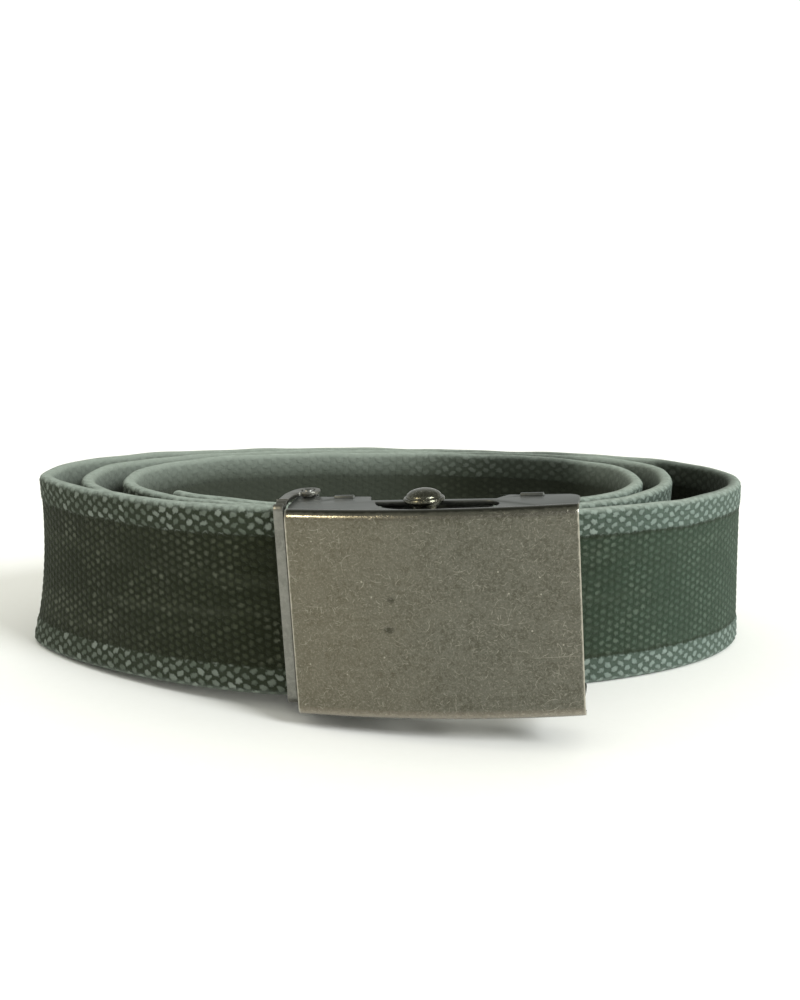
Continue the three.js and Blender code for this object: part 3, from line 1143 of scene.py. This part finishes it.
@dataclass
class Web:
    """The cotton strap: three turns and a little more, standing on its lower edge."""

    width: float = 38.0
    thick: float = 3.2
    squeezed: float = 35.2
    edge: float = 1.1
    flare: float = 22.0
    flare_limit: float = 0.9
    splay_left: float = 1.7
    splay_right: Point = (1.4, 1.6)
    clamp_handle: float = 20.0
    side_handle: float = 17.0
    face: float = 8.0
    end_x: float = -13.75
    clamp_x: float = -30.75
    squeeze_x: float = -30.15
    tip_x: float = -47.0
    shift: Triple = (0.2452, -0.7749, 0.0)
    rows: tuple[tuple[Side, float, float, float], ...] = (
        (Side.LEFT, -79.9, 8.0, 2.0),
        (Side.BACK, 28.0, 63.0, 2.1),
        (Side.RIGHT, 79.5, 32.0, 2.4),
        (Side.FRONT, -16.0, -29.4, 1.92),
        (Side.LEFT, -70.1, 7.0, 2.18),
        (Side.BACK, 25.0, 59.3, 2.1),
        (Side.RIGHT, 64.6, 35.0, 2.9),
        (Side.FRONT, -16.0, -25.7, 2.12),
        (Side.LEFT, -61.0, 7.0, 2.2),
        (Side.BACK, 22.0, 55.6, 2.1),
        (Side.RIGHT, 56.4, 26.0, 2.6),
        (Side.FRONT, -17.0, -22.0, 2.0),
        (Side.LEFT, -56.4, 7.0, 2.15),
    )
    flat_length: float = 1.10
    outer_turn: float = 480.0
    # The weave's height in the mesh, in millimetres: the centre's and the bands' rise, base and quiet level.
    centre_weave: Triple = (0.11, -0.30, -0.24)
    band_weave: Triple = (0.16, -0.12, -0.06)

    def middle(self, row: tuple[Side, float, float, float]) -> np.ndarray:
        """The web's middle line at a row of the route."""
        side, x, y, _ = row
        return np.array([x, y]) - np.array(side.value) * self.thick / 2

    def quarter(self, first: tuple, last: tuple, steps: int = 120) -> np.ndarray:
        """The rounded quarter of a turn from one row to the next.

        Args:
            first: the row where it starts.
            last: the row where it ends, with the fullness of the quarter.
            steps: how many points it has.

        Returns:
            Its points, without the first.
        """
        start = self.middle(first)
        end = self.middle(last)
        angle = np.linspace(0, np.pi / 2, steps + 1)[1:]
        rise = np.sin(angle) ** (2 / last[3])
        fall = np.clip(np.cos(angle), 0, 1) ** (2 / last[3])
        if first[0] in (Side.FRONT, Side.BACK):
            x = start[0] + (end[0] - start[0]) * rise
            y = end[1] + (start[1] - end[1]) * fall
        else:
            x = end[0] + (start[0] - end[0]) * fall
            y = start[1] + (end[1] - start[1]) * rise
        return np.stack([x, y, np.full(steps, self.width / 2)], axis=1)

    def route(self) -> tuple[np.ndarray, float, float]:
        """The web's middle line from the buckle to the free tip, in millimetres.

        Returns:
            Its points, the length that the buckle holds, and the length at which the web stands upright.
        """
        shift = np.array(self.shift)
        held_at = [Vector((x, self.face + self.thick / 2, 0)) for x in (self.end_x, self.clamp_x)]
        end, clamp = (np.array(SEAT.matrix() @ place) - shift for place in held_at)
        held = float(np.linalg.norm(clamp - end))
        away = (clamp - end) / held
        side = np.array([*self.middle(self.rows[0]), self.width / 2])
        before = side - np.array([0, self.side_handle, 0])
        handles = [clamp, clamp + self.clamp_handle * away, before, side]
        t = np.linspace(0, 1, 121)[:, None]
        weights = [(1 - t) ** 3, 3 * t * (1 - t) ** 2, 3 * t**2 * (1 - t), t**3]
        sweep = sum(w * h for w, h in zip(weights, handles))
        free = held + float(np.linalg.norm(np.diff(sweep, axis=0), axis=1).sum())
        turns = [self.quarter(first, last) for first, last in zip(self.rows[:-1], self.rows[1:])]
        turns[-1] = turns[-1][turns[-1][:, 0] >= self.tip_x]
        return np.concatenate([end[None, :], sweep, *turns]) + shift, held, free

    def stations(self, points: np.ndarray) -> tuple[np.ndarray, np.ndarray]:
        """Places along the route, on the weave's columns, closer together on the outer turn.

        Args:
            points: the route.

        Returns:
            The length at each station, and its point.
        """
        lengths = np.concatenate([[0], np.cumsum(np.linalg.norm(np.diff(points, axis=0), axis=1))])
        fine = np.arange(0, self.outer_turn, PITCH.column / 2)
        coarse = np.arange(fine[-1] + PITCH.column * 1.5, lengths[-1] - 1, PITCH.column * 1.5)
        at = np.concatenate([fine, coarse, [lengths[-1]]])
        return at, np.stack([np.interp(at, lengths, points[:, k]) for k in range(3)], axis=1)

    def section(self) -> tuple[np.ndarray, np.ndarray, np.ndarray]:
        """Points round the web's section, outwards positive, starting under its middle.

        Returns:
            How far out each is, how high, and the length round the section.
        """
        half = self.width / 2
        depth = self.thick / 2
        rows = np.arange(-41, 42) * PITCH.centre_row / 2
        turns = np.radians([12, 34, 56, 78])
        cap_out = depth * np.cos(turns) ** 0.8
        cap_up = half - self.edge + self.edge * np.sin(turns)
        inner = np.linspace(half - self.edge, -(half - self.edge), 20)
        out = [[0.0], cap_out[::-1], np.full(len(rows), depth), cap_out, [0.0], -cap_out[::-1]]
        out = np.concatenate(out + [np.full(len(inner), -depth), -cap_out])
        high = [[-half], -cap_up[::-1], rows, cap_up, [half], cap_up[::-1], inner, -cap_up]
        high = np.concatenate(high)
        step = np.hypot(np.diff(out), np.diff(high))
        top = int(np.argmax(high))
        rise = np.concatenate([[0], np.cumsum(step)])
        face = 2 * PITCH.face_half
        upper = rise[: top + 1] / rise[top] * face
        rest = face + (rise[top + 1:] - rise[top]) / (rise[-1] - rise[top] + step[0]) * face
        return out, high, np.concatenate([upper, rest])

    def slub_height(
        self, along: np.ndarray, across: np.ndarray, row: float, half: Point, lean: float
    ) -> np.ndarray:
        """The height of the slubs in the mesh, in step with the material's own.

        Args:
            along: millimetres along the web.
            across: millimetres across it.
            row: the offset from one row to the next.
            half: a slub's half length and half width.
            lean: how much a slub slants.

        Returns:
            The height from 0 to 1 at each place.
        """
        column = np.round(along / PITCH.column)
        beside = along - column * PITCH.column
        parity = np.abs(column) % 2
        level = (across + (2 * parity - 1) * lean * beside) / (2 * row) + parity * 0.5
        above = (level - np.round(level)) * 2 * row
        return np.sqrt(np.maximum(0, 1 - (beside / half[0]) ** 2 - (above / half[1]) ** 2))

    def curvature(self, at: np.ndarray, along: np.ndarray) -> np.ndarray:
        """How sharply the route turns at each station, evened out over a few millimetres.

        Args:
            at: the length at each station.
            along: the route's direction there.

        Returns:
            One value for each station.
        """
        bend = np.linalg.norm(np.gradient(along, at, axis=0), axis=1)
        grid = np.arange(0, at[-1], 1.0)
        kernel = np.exp(-0.5 * (np.arange(-12, 13) / 4.0) ** 2)
        even = np.convolve(np.interp(grid, at, bend), kernel / kernel.sum(), mode="same")
        return np.interp(at, grid, even)

    def rings(self) -> tuple[np.ndarray, np.ndarray, np.ndarray]:
        """The web's surface as rings of points.

        Returns:
            The points, the length at each ring and the length round the section.
        """
        points, held, free = self.route()
        at, place = self.stations(points)
        along = unit(np.gradient(place, at, axis=0))
        bend = self.curvature(at, along)
        freed = smooth(np.clip((at - held) / (free - held), 0, 1))
        buckle_up = np.array(SEAT.turn() @ Vector((0, 0, 1)))
        up = unit(buckle_up * (1 - freed)[:, None] + np.array([0, 0, 1.0]) * freed[:, None])
        out_way = unit(np.cross(up, along))
        outer = freed * np.clip((self.outer_turn - at) / 60, 0, 1)
        to_left = outer * np.clip(-out_way[:, 0], 0, 1) ** 2
        to_right = outer * np.clip(out_way[:, 0], 0, 1) ** 2
        flare = freed * np.minimum(self.flare * bend, self.flare_limit) * (1 - 0.8 * to_right)
        before = self.squeeze_x - self.end_x
        pinch = smooth(np.clip((at + before) / (held + before), 0, 1))
        half = (self.squeezed + (self.width - self.squeezed) * pinch) / 2

        out, high, turn = self.section()
        share = high / (self.width / 2)
        low_share = (1 - share[None, :]) / 2
        outward = out[None, :] + flare[:, None] * share[None, :] ** 2
        outward = outward + self.splay_left * to_left[:, None] * low_share**3
        outward = outward + to_right[:, None] * (self.splay_right[0] + self.splay_right[1] * low_share)
        outward = outward + self.relief(at, high, out)
        height = half[:, None] * share[None, :] + self.edge_wave(at)[:, None] * (share[None, :] > 0.5)
        rings = place[:, None, :] + out_way[:, None, :] * outward[..., None]
        rings = rings + up[:, None, :] * height[..., None]
        return rings, at, turn

    def edge_wave(self, at: np.ndarray) -> np.ndarray:
        """The gentle unevenness of the upper edge along the web, in millimetres."""
        wave = 0.09 * np.sin(at / 4.1) + 0.07 * np.sin(at / 9.7 + 1.3) + 0.05 * np.sin(at / 2.3 + 0.4)
        return wave * np.clip((at - 25) / 20, 0, 1)

    def relief(self, at: np.ndarray, high: np.ndarray, out: np.ndarray) -> np.ndarray:
        """How far the weave raises or sinks the surface, in millimetres, outwards from the web's middle.

        Args:
            at: the length at each ring.
            high: each section point's height.
            out: each section point's place through the thickness.

        Returns:
            One row for each ring.
        """
        along = at[:, None]
        across = high[None, :]
        outward = np.abs(across)
        pearl = self.slub_height(along, across, PITCH.centre_row, PITCH.centre_half, 0.0)
        from_band = outward - PITCH.band_origin
        slub = self.slub_height(along, from_band, PITCH.band_row, PITCH.band_half, PITCH.band_lean)
        band = np.clip((outward - PITCH.band_start + 0.25) / 0.5, 0, 1)
        centre_rise, centre_base, centre_calm = self.centre_weave
        band_rise, band_base, band_calm = self.band_weave
        raised = (1 - band) * (centre_rise * pearl + centre_base) + band * (band_rise * slub + band_base)
        fine = np.clip((self.outer_turn - along) / 6, 0, 1)
        calm = (1 - band) * centre_calm + band * band_calm
        outer = fine * raised + (1 - fine) * calm
        face = np.sign(out)[None, :] * (np.abs(out)[None, :] > 1.2)
        return face * np.where(out[None, :] > 0, outer, calm)

    def build(self) -> bpy.types.Object:
        """The web as one closed mesh with its own map.

        Returns:
            The web's object.
        """
        rings, at, turn = self.rings()
        count, around = rings.shape[:2]
        i, j = np.meshgrid(np.arange(count - 1), np.arange(around), indexing="ij")
        here = i * around
        after = (j + 1) % around
        quads = np.stack([here + j, here + after, here + around + after, here + around + j], axis=-1)
        first = list(range(around))
        last = [(count - 1) * around + k for k in first]
        faces = quads.reshape(-1, 4).tolist() + [first[::-1], last]
        mesh = bpy.data.meshes.new("web")
        mesh.from_pydata((rings.reshape(-1, 3) * MM).tolist(), [], faces)
        closing = np.append(turn, 4 * PITCH.face_half)
        s = np.stack([at[i], at[i], at[i + 1], at[i + 1]], axis=-1).reshape(-1)
        p = np.stack([closing[j], closing[j + 1], closing[j + 1], closing[j]], axis=-1).reshape(-1)
        chart = mesh.uv_layers.new(name=WEB_MAP)
        s = np.concatenate([s, np.full(around, at[0]), np.full(around, at[-1])])
        p = np.concatenate([p, turn[::-1], turn])
        flat = np.stack([s, p], axis=1) / MAP_UNIT
        chart.data.foreach_set("uv", flat.reshape(-1).astype(np.float32))
        piece = bpy.data.objects.new("web", mesh)
        bpy.context.scene.collection.objects.link(piece)
        take(piece)
        bpy.ops.object.shade_smooth_by_angle(angle=math.radians(60))
        inside = bmesh.new()
        inside.from_mesh(mesh)
        if inside.calc_volume(signed=True) < 0:
            bmesh.ops.reverse_faces(inside, faces=inside.faces)
            inside.to_mesh(mesh)
        inside.free()
        return piece

    def dress(self) -> bpy.types.Object:
        """Returns:
            The finished piece.
        """
        piece = self.build()
        seat_on(piece, "web_strap", "belt", "web", CottonWeave().material())
        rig.sheet(piece, flat=(self.width * MM, self.flat_length), held="folded", rests_on=["end_clamp"])
        return piece


class BucklePart:
    """A hard part of the buckle, built in millimetres in the buckle's own axes."""

    node: str
    slot: str
    finish: AgedMetal
    body: str = "belt"
    crease: float = 35.0

    def build(self) -> bpy.types.Object:
        """Each kind of part makes its own mesh."""
        raise NotImplementedError

    def dress(self) -> bpy.types.Object:
        """Build the part, move it to its seat in the row's frame and give it its finish.

        Returns:
            The finished piece, with its place in its mesh.
        """
        piece = self.build()
        take(piece)
        piece.matrix_world = Matrix.Scale(MM, 4) @ SEAT.matrix()
        bpy.ops.object.transform_apply(location=True, rotation=True, scale=True)
        bpy.ops.object.shade_smooth_by_angle(angle=math.radians(self.crease))
        seat_on(piece, self.node, self.body, self.slot, self.finish.material())
        return piece


@dataclass
class CoverPlate(BucklePart):
    """The bowed cover plate, with its long edges rolled back into lips."""

    node: str = "front_plate"
    slot: str = "plate"
    finish: AgedMetal = PEWTER
    width: float = 54.4
    height: float = 40.0
    gauge: float = 0.8
    crown: float = 2.6
    fold: float = 1.8
    lip: float = 2.3
    rounding: float = 0.14
    steps: tuple[int, int] = (72, 30)
    fold_steps: int = 8

    def build(self) -> bpy.types.Object:
        """Grid, rolled edges, crown, wall and rounded rim.

        Returns:
            The part in the buckle's own axes.
        """
        reach = self.height / 2 - self.fold
        plate = add_grid("cover_plate", self.steps, (self.width, 2 * reach), (0, 0, 0))
        roll_back(plate, reach, 0.0, self.fold, self.fold_steps, [self.lip - self.fold])
        for vert in plate.data.vertices:
            vert.co.y -= self.crown * (1 - (2 * vert.co.x / self.width) ** 2)
        give_wall(plate, self.gauge, even=True)
        round_edges(plate, self.rounding, 2, 50)
        return plate


@dataclass
class ChannelFrame(BucklePart):
    """The channel behind the plate: a front sheet, two slotted flanges and two rear strips."""

    node: str = "frame"
    slot: str = "frame"
    finish: AgedMetal = GUNMETAL
    half_width: float = 26.6
    half_height: float = 18.9
    gauge: float = 0.9
    front: float = 1.6
    corner: float = 2.5
    rear: Point = (16.8, 15.2)
    notch: tuple[Point, Point] = ((10.85, 12.6), (-13.35, 13.0))
    notch_ends: Point = (12.85, -13.95)
    pin: Point = (-27.0, 18.7)
    pin_hole: float = 1.4
    lug: float = 2.1
    lug_side: tuple[Point, Point] = ((-28.8, 9.5), (-27.2, 3.0))
    slot_bow: tuple[Point, Point, Point] = ((-12.15, 11.4), (-11.15, 5.8), (-6.35, 4.7))
    slot_end: Point = (8.85, 7.85)
    slot_radius: float = 3.15
    strips: tuple[Point, Point] = ((-21.2, -17.2), (15.2, 19.7))
    raised: float = 0.42
    rib: tuple[float, float, float, float] = (-11.0, 10.4, 11.45, 12.45)
    rib_depth: float = 1.4
    rib_overlap: float = 0.3
    strip_rounding: float = 0.22
    rounding: float = 0.13

    def rear_edge(self, x: float) -> float:
        """Where the slanting rear edge is at one place along the flange."""
        share = (x + self.half_width) / (2 * self.half_width)
        return self.rear[0] + (self.rear[1] - self.rear[0]) * share

    def flange(self) -> list[list[Point]]:
        """The shape that both flanges are cut to.

        Returns:
            The outline, the slot and the pin hole.
        """
        outline = [(-self.half_width, self.front), (self.half_width, self.front)]
        outline += arc((self.half_width - self.corner, self.rear[1] - self.corner), self.corner, 0, 90)
        right, left = ((x, self.rear_edge(x)) for x in self.notch_ends)
        outline += [right, *self.notch, left]
        outline += arc(self.pin, self.lug, -40, 180, 20)
        outline += self.lug_side
        slot = [self.slot_bow[0]] + bow(*self.slot_bow)
        slot += arc(self.slot_end, self.slot_radius, -90, 90, 20)
        return [outline, slot, arc(self.pin, self.pin_hole, 0, 345, 23)]

    def build(self) -> bpy.types.Object:
        """Sheets, strips and the rib behind each slot made one, with rounded edges.

        Returns:
            The part in the buckle's own axes.
        """
        top = self.half_height
        low = (-self.half_width, self.front, 0.02 - top)
        front = add_block("channel_frame", low, (self.half_width, self.front + self.gauge, top - 0.02))
        parts = [
            add_sheet("upper", self.flange(), top - self.gauge, top),
            add_sheet("lower", self.flange(), -top, self.gauge - top),
        ]
        for left, right in self.strips:
            back = self.rear_edge(right)
            low = (left, back - self.gauge, -top - 0.2)
            parts.append(add_block("strip", low, (right, back + 0.03, top + self.raised)))
            round_edges(parts[-1], self.strip_rounding, 3)
        left, right, near, far = self.rib
        under = top - self.gauge
        inner = under - self.rib_depth
        outer = under + self.rib_overlap
        for low, high in ((inner, outer), (-outer, -inner)):
            parts.append(add_block("rib", (left, near, low), (right, far, high)))
        whole = unite(front, parts)
        round_edges(whole, self.rounding, 2, 40)
        return whole


@dataclass
class StrapClamp(BucklePart):
    """The bent clamp round the strap's end, with an ear at the end of each arm."""

    node: str = "end_clamp"
    slot: str = "clamp"
    finish: AgedMetal = BROWNED
    left: float = -30.95
    right: float = -28.95
    front: float = 6.2
    half_height: float = 20.0
    gauge: float = 0.8
    bend: float = 1.5
    bend_steps: int = 6
    arm_start: float = 9.9
    arm_front: float = 9.6
    arm_inset: float = 0.02
    layer_inset: float = 0.015
    waist: float = 12.4
    ear_bow: Point = (-30.4, 15.0)
    rounding: float = 0.16
    dip_end: float = 9.3
    pin: Point = (-27.0, 18.7)
    ear: float = 2.4
    pin_hole: float = 1.4
    dip: float = 0.75

    def arm(self) -> list[list[Point]]:
        """The shape that both arms are cut to.

        Returns:
            The outline with its ear, and the pin hole.
        """
        ear = arc(self.pin, self.ear, -110, 100, 24)
        sides = (self.left + self.arm_inset, self.right - self.arm_inset)
        outline = [*((x, self.arm_front) for x in sides), (self.right, self.waist)]
        outline += bow((self.right, self.waist), (self.right, self.pin[1] - self.ear), ear[0])
        outline += ear[1:]
        outline += bow(ear[-1], (self.ear_bow[0], self.pin[1] + self.ear), (self.left, self.ear_bow[1]))
        return [outline, arc(self.pin, self.pin_hole, 0, 345, 23)]

    def strip(self) -> bpy.types.Object:
        """The bent strip: a long plate, a rounded bend at each end and the start of each arm.

        Returns:
            The strip as a closed mesh.
        """
        reach = self.half_height - self.bend
        middle = ((self.left + self.right) / 2, self.front, 0)
        strip = add_grid("strap_clamp", (3, 24), (self.right - self.left, 2 * reach), middle)
        run = (self.arm_start - self.front - self.bend) / self.bend_steps
        roll_back(strip, reach, self.front, self.bend, self.bend_steps, [run] * self.bend_steps)
        start = self.front + self.bend * 0.5
        for vert in strip.data.vertices:
            past = (vert.co.y - start) / (self.dip_end - start)
            if 0 < past < 1 and abs(vert.co.z) > reach:
                vert.co.z -= math.copysign(self.dip * math.sin(math.pi * past) ** 2, vert.co.z)
        give_wall(strip, self.gauge)
        return strip

    def build(self) -> bpy.types.Object:
        """The strip and its arms made one, with rounded edges.

        Returns:
            The part in the buckle's own axes.
        """
        top = self.half_height - self.layer_inset
        inside = self.half_height - self.gauge + self.layer_inset
        arms = [
            add_sheet("upper_arm", self.arm(), inside, top),
            add_sheet("lower_arm", self.arm(), -top, -inside),
        ]
        whole = unite(self.strip(), arms)
        round_edges(whole, self.rounding, 2, 40)
        return whole


@dataclass
class HingePin(BucklePart):
    """The riveted pin through the clamp's ears and the flanges."""

    node: str = "clamp_pin"
    slot: str = "clamp"
    finish: AgedMetal = PIN_STEEL
    crease: float = 40.0
    place: Point = (-27.0, 18.7)
    radius: float = 1.1
    end: float = 19.9
    sides: int = 32
    # The rounded and dimpled end: the share of the radius and the rise at each step.
    rivet: tuple[Point, ...] = (
        (1.0, 0.0), (0.93, 0.13), (0.74, 0.2), (0.5, 0.08), (0.22, -0.1), (0.03, -0.14)
    )

    def build(self) -> bpy.types.Object:
        """A rod whose ends are rounded over and dimpled.

        Returns:
            The part in the buckle's own axes.
        """
        pin = add_rod("hinge_pin", self.place, self.radius, self.end, self.sides)
        for sign in (1, -1):
            profile = [(self.radius * share, sign * (self.end + rise)) for share, rise in self.rivet]
            grow(pin, self.place, profile)
        return pin


@dataclass
class LockingBar(BucklePart):
    """The round bar across both slots, with a domed head above and a flat one below."""

    node: str = "lock_bar"
    slot: str = "bar"
    finish: AgedMetal = POLISHED
    body: str = "bar"
    crease: float = 40.0
    place: Point = (-2.05, 7.9)
    radius: float = 2.5
    head: float = 3.9
    base: float = 19.2
    rim: float = 0.7
    top: float = 22.1
    foot: float = 1.2
    chamfer: float = 0.6
    dome_inset: float = 0.58
    dome_start: float = 0.60
    dome_steps: int = 12
    sides: int = 56

    def build(self) -> bpy.types.Object:
        """A rod, its head and its foot drawn out of its two ends.

        Returns:
            The part in the buckle's own axes.
        """
        bar = add_rod("locking_bar", self.place, self.radius, self.base, self.sides)
        shoulder = self.base + self.rim
        wide = self.head - self.dome_inset
        spring = shoulder + self.dome_start
        profile = [
            (self.radius, self.base),
            (self.head - self.chamfer, self.base + 0.02),
            (self.head - 0.12, self.base + self.rim * 0.8),
            (self.head, self.base + self.rim * 1.05),
            (self.head - 0.03, shoulder + 0.34),
            (self.head - 0.18, shoulder + 0.56),
            (self.head - 0.40, shoulder + 0.62),
            (wide, spring),
        ]
        for k in range(1, self.dome_steps + 1):
            turn = math.pi / 2 * k / (self.dome_steps + 0.4)
            profile.append((wide * math.cos(turn), spring + (self.top - spring) * math.sin(turn)))
        grow(bar, self.place, profile)
        low = -self.base
        under = [
            (self.radius, low),
            (self.head - 0.15, low - 0.02),
            (self.head, low - 0.2),
            (self.head, low - self.foot + 0.25),
            (self.head - 0.25, low - self.foot),
            (self.head * 0.3, low - self.foot),
        ]
        grow(bar, self.place, under)
        return bar


@dataclass
class Studio:
    """The pale floor, the soft light and the camera at the photograph's angle."""

    lens: float = 54.0
    film: float = 36.0
    camera_place: Triple = (0.245, -324.775, 94.87)
    pitch: float = 10.391
    roll: float = 1.835
    floor_size: float = 8.0
    floor_drop: float = 0.00005
    floor_tones: tuple[Colour, Colour] = ((0.93, 0.93, 0.92), (0.95, 0.95, 0.945))
    even_light: Colour = (1.0, 1.0, 0.90)
    backdrop: Colour = (1.0, 1.0, 1.0)
    front_wall: Colour = (0.46, 0.46, 0.43)
    back_wall: Colour = (0.62, 0.64, 0.62)
    ceiling: Colour = (0.26, 0.27, 0.24)
    even_strength: float = 0.92
    backdrop_strength: float = 1.1
    daylight_from: Triple = (0.70, -0.62, 0.60)
    daylight_power: float = 2.4
    daylight_spread: float = 20.0
    daylight_tint: Colour = (0.97, 1.0, 1.0)
    gleam_from: Triple = (-0.375, -0.33, 0.32)
    gleam_at: Triple = (0.0, 0.0, 0.02)
    gleam_size: float = 0.11
    gleam_power: float = 0.64
    gleam_tint: Colour = (1.0, 0.88, 0.64)

    def floor(self) -> None:
        """A wide matt floor just under the belt."""
        bpy.ops.mesh.primitive_plane_add(size=self.floor_size, location=(0, 0, -self.floor_drop))
        ground = bpy.context.object
        ground.name = "floor"
        shade = Shade("pale_floor")
        tone = shade.blend(shade.noise(shade.place_in_buckle(), 0.5, 2.0), *self.floor_tones)
        finish = shade.finish({"Base Color": tone, "Roughness": 0.7, "Specular IOR Level": 0.2})
        ground.data.materials.append(finish)
        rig.stage(ground)

    def sky(self) -> None:
        """An even white room for diffuse light, and soft walls of different brightness for reflections."""
        world = bpy.data.worlds.new("studio")
        bpy.context.scene.world = world
        world.use_nodes = True
        graph = Graph(world.node_tree)
        _, y, z = graph.split(graph.make("TexCoord", output="Generated"))
        walls = graph.blend(y.ease(-0.5, 0.7), self.front_wall, self.back_wall)
        walls = graph.blend(z.ease(0.35, 0.95), walls, self.ceiling)
        rooms = ((self.even_light, self.even_strength), (self.backdrop, self.backdrop_strength), (walls, 1.0))
        even, seen, mirrored = (
            graph.make("Background", {"Color": colour, "Strength": strength}) for colour, strength in rooms
        )
        ray = graph.node("LightPath").outputs
        room = graph.make("MixShader", {0: Value(graph, ray["Is Glossy Ray"]), 1: even, 2: mirrored})
        room = graph.make("MixShader", {0: Value(graph, ray["Is Camera Ray"]), 1: room, 2: seen})
        graph.node("OutputWorld", {"Surface": room})

    def light(
        self, kind: str, name: str, place: Triple, aim: Triple, power: float, tint: Colour
    ) -> bpy.types.Object:
        """One light aimed at a place.

        Args:
            kind: the kind of light.
            name: its name.
            place: where it stands, in metres.
            aim: the place that it points to.
            power: its strength, in watts for a lamp.
            tint: its colour.

        Returns:
            The light.
        """
        bpy.ops.object.light_add(type=kind, location=place)
        light = bpy.context.object
        light.name = name
        light.data.energy = power
        light.data.color = tint
        light.rotation_euler = (Vector(aim) - Vector(place)).to_track_quat("-Z", "Y").to_euler()
        return light

    def camera(self) -> None:
        """The camera where the photograph was taken from."""
        data = bpy.data.cameras.new("camera")
        data.lens = self.lens
        data.sensor_width = self.film
        data.clip_start = 0.01
        camera = bpy.data.objects.new("camera", data)
        bpy.context.scene.collection.objects.link(camera)
        place = Matrix.Translation(MM * Vector(self.camera_place))
        nod = Matrix.Rotation(math.radians(90 - self.pitch), 4, "X")
        camera.matrix_world = place @ nod @ Matrix.Rotation(math.radians(self.roll), 4, "Z")
        bpy.context.scene.camera = camera

    def build(self) -> None:
        """Set the floor, the broad daylight, the small lamp that only reflects, and the camera."""
        self.floor()
        self.sky()
        sun = self.light(
            "SUN", "daylight", self.daylight_from, (0, 0, 0), self.daylight_power, self.daylight_tint
        )
        sun.data.angle = math.radians(self.daylight_spread)
        gleam = self.light("AREA", "gleam", self.gleam_from, self.gleam_at, self.gleam_power, self.gleam_tint)
        gleam.data.size = self.gleam_size
        gleam.visible_diffuse = False
        bpy.context.scene.view_settings.view_transform = "Standard"
        self.camera()


def plain(corners: tuple) -> list[list[float]]:
    """A box's two corners as plain lists of numbers."""
    return [[round(float(x), 6) for x in corner] for corner in corners]


def main() -> None:
    """Build the studio and the belt, piece by piece."""
    logging.basicConfig(level=logging.INFO, format="%(name)s: %(message)s")
    cad_box = plain(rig.bounds())
    Studio().build()
    for part in (Web(), CoverPlate(), ChannelFrame(), StrapClamp(), HingePin(), LockingBar()):
        piece = part.dress()
        LOG.info("%s is in place", piece.name)
    with open("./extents.json", "w") as report:
        json.dump({"cad": cad_box, "visual": plain(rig.bounds())}, report)


if __name__ == "__main__":
    main()
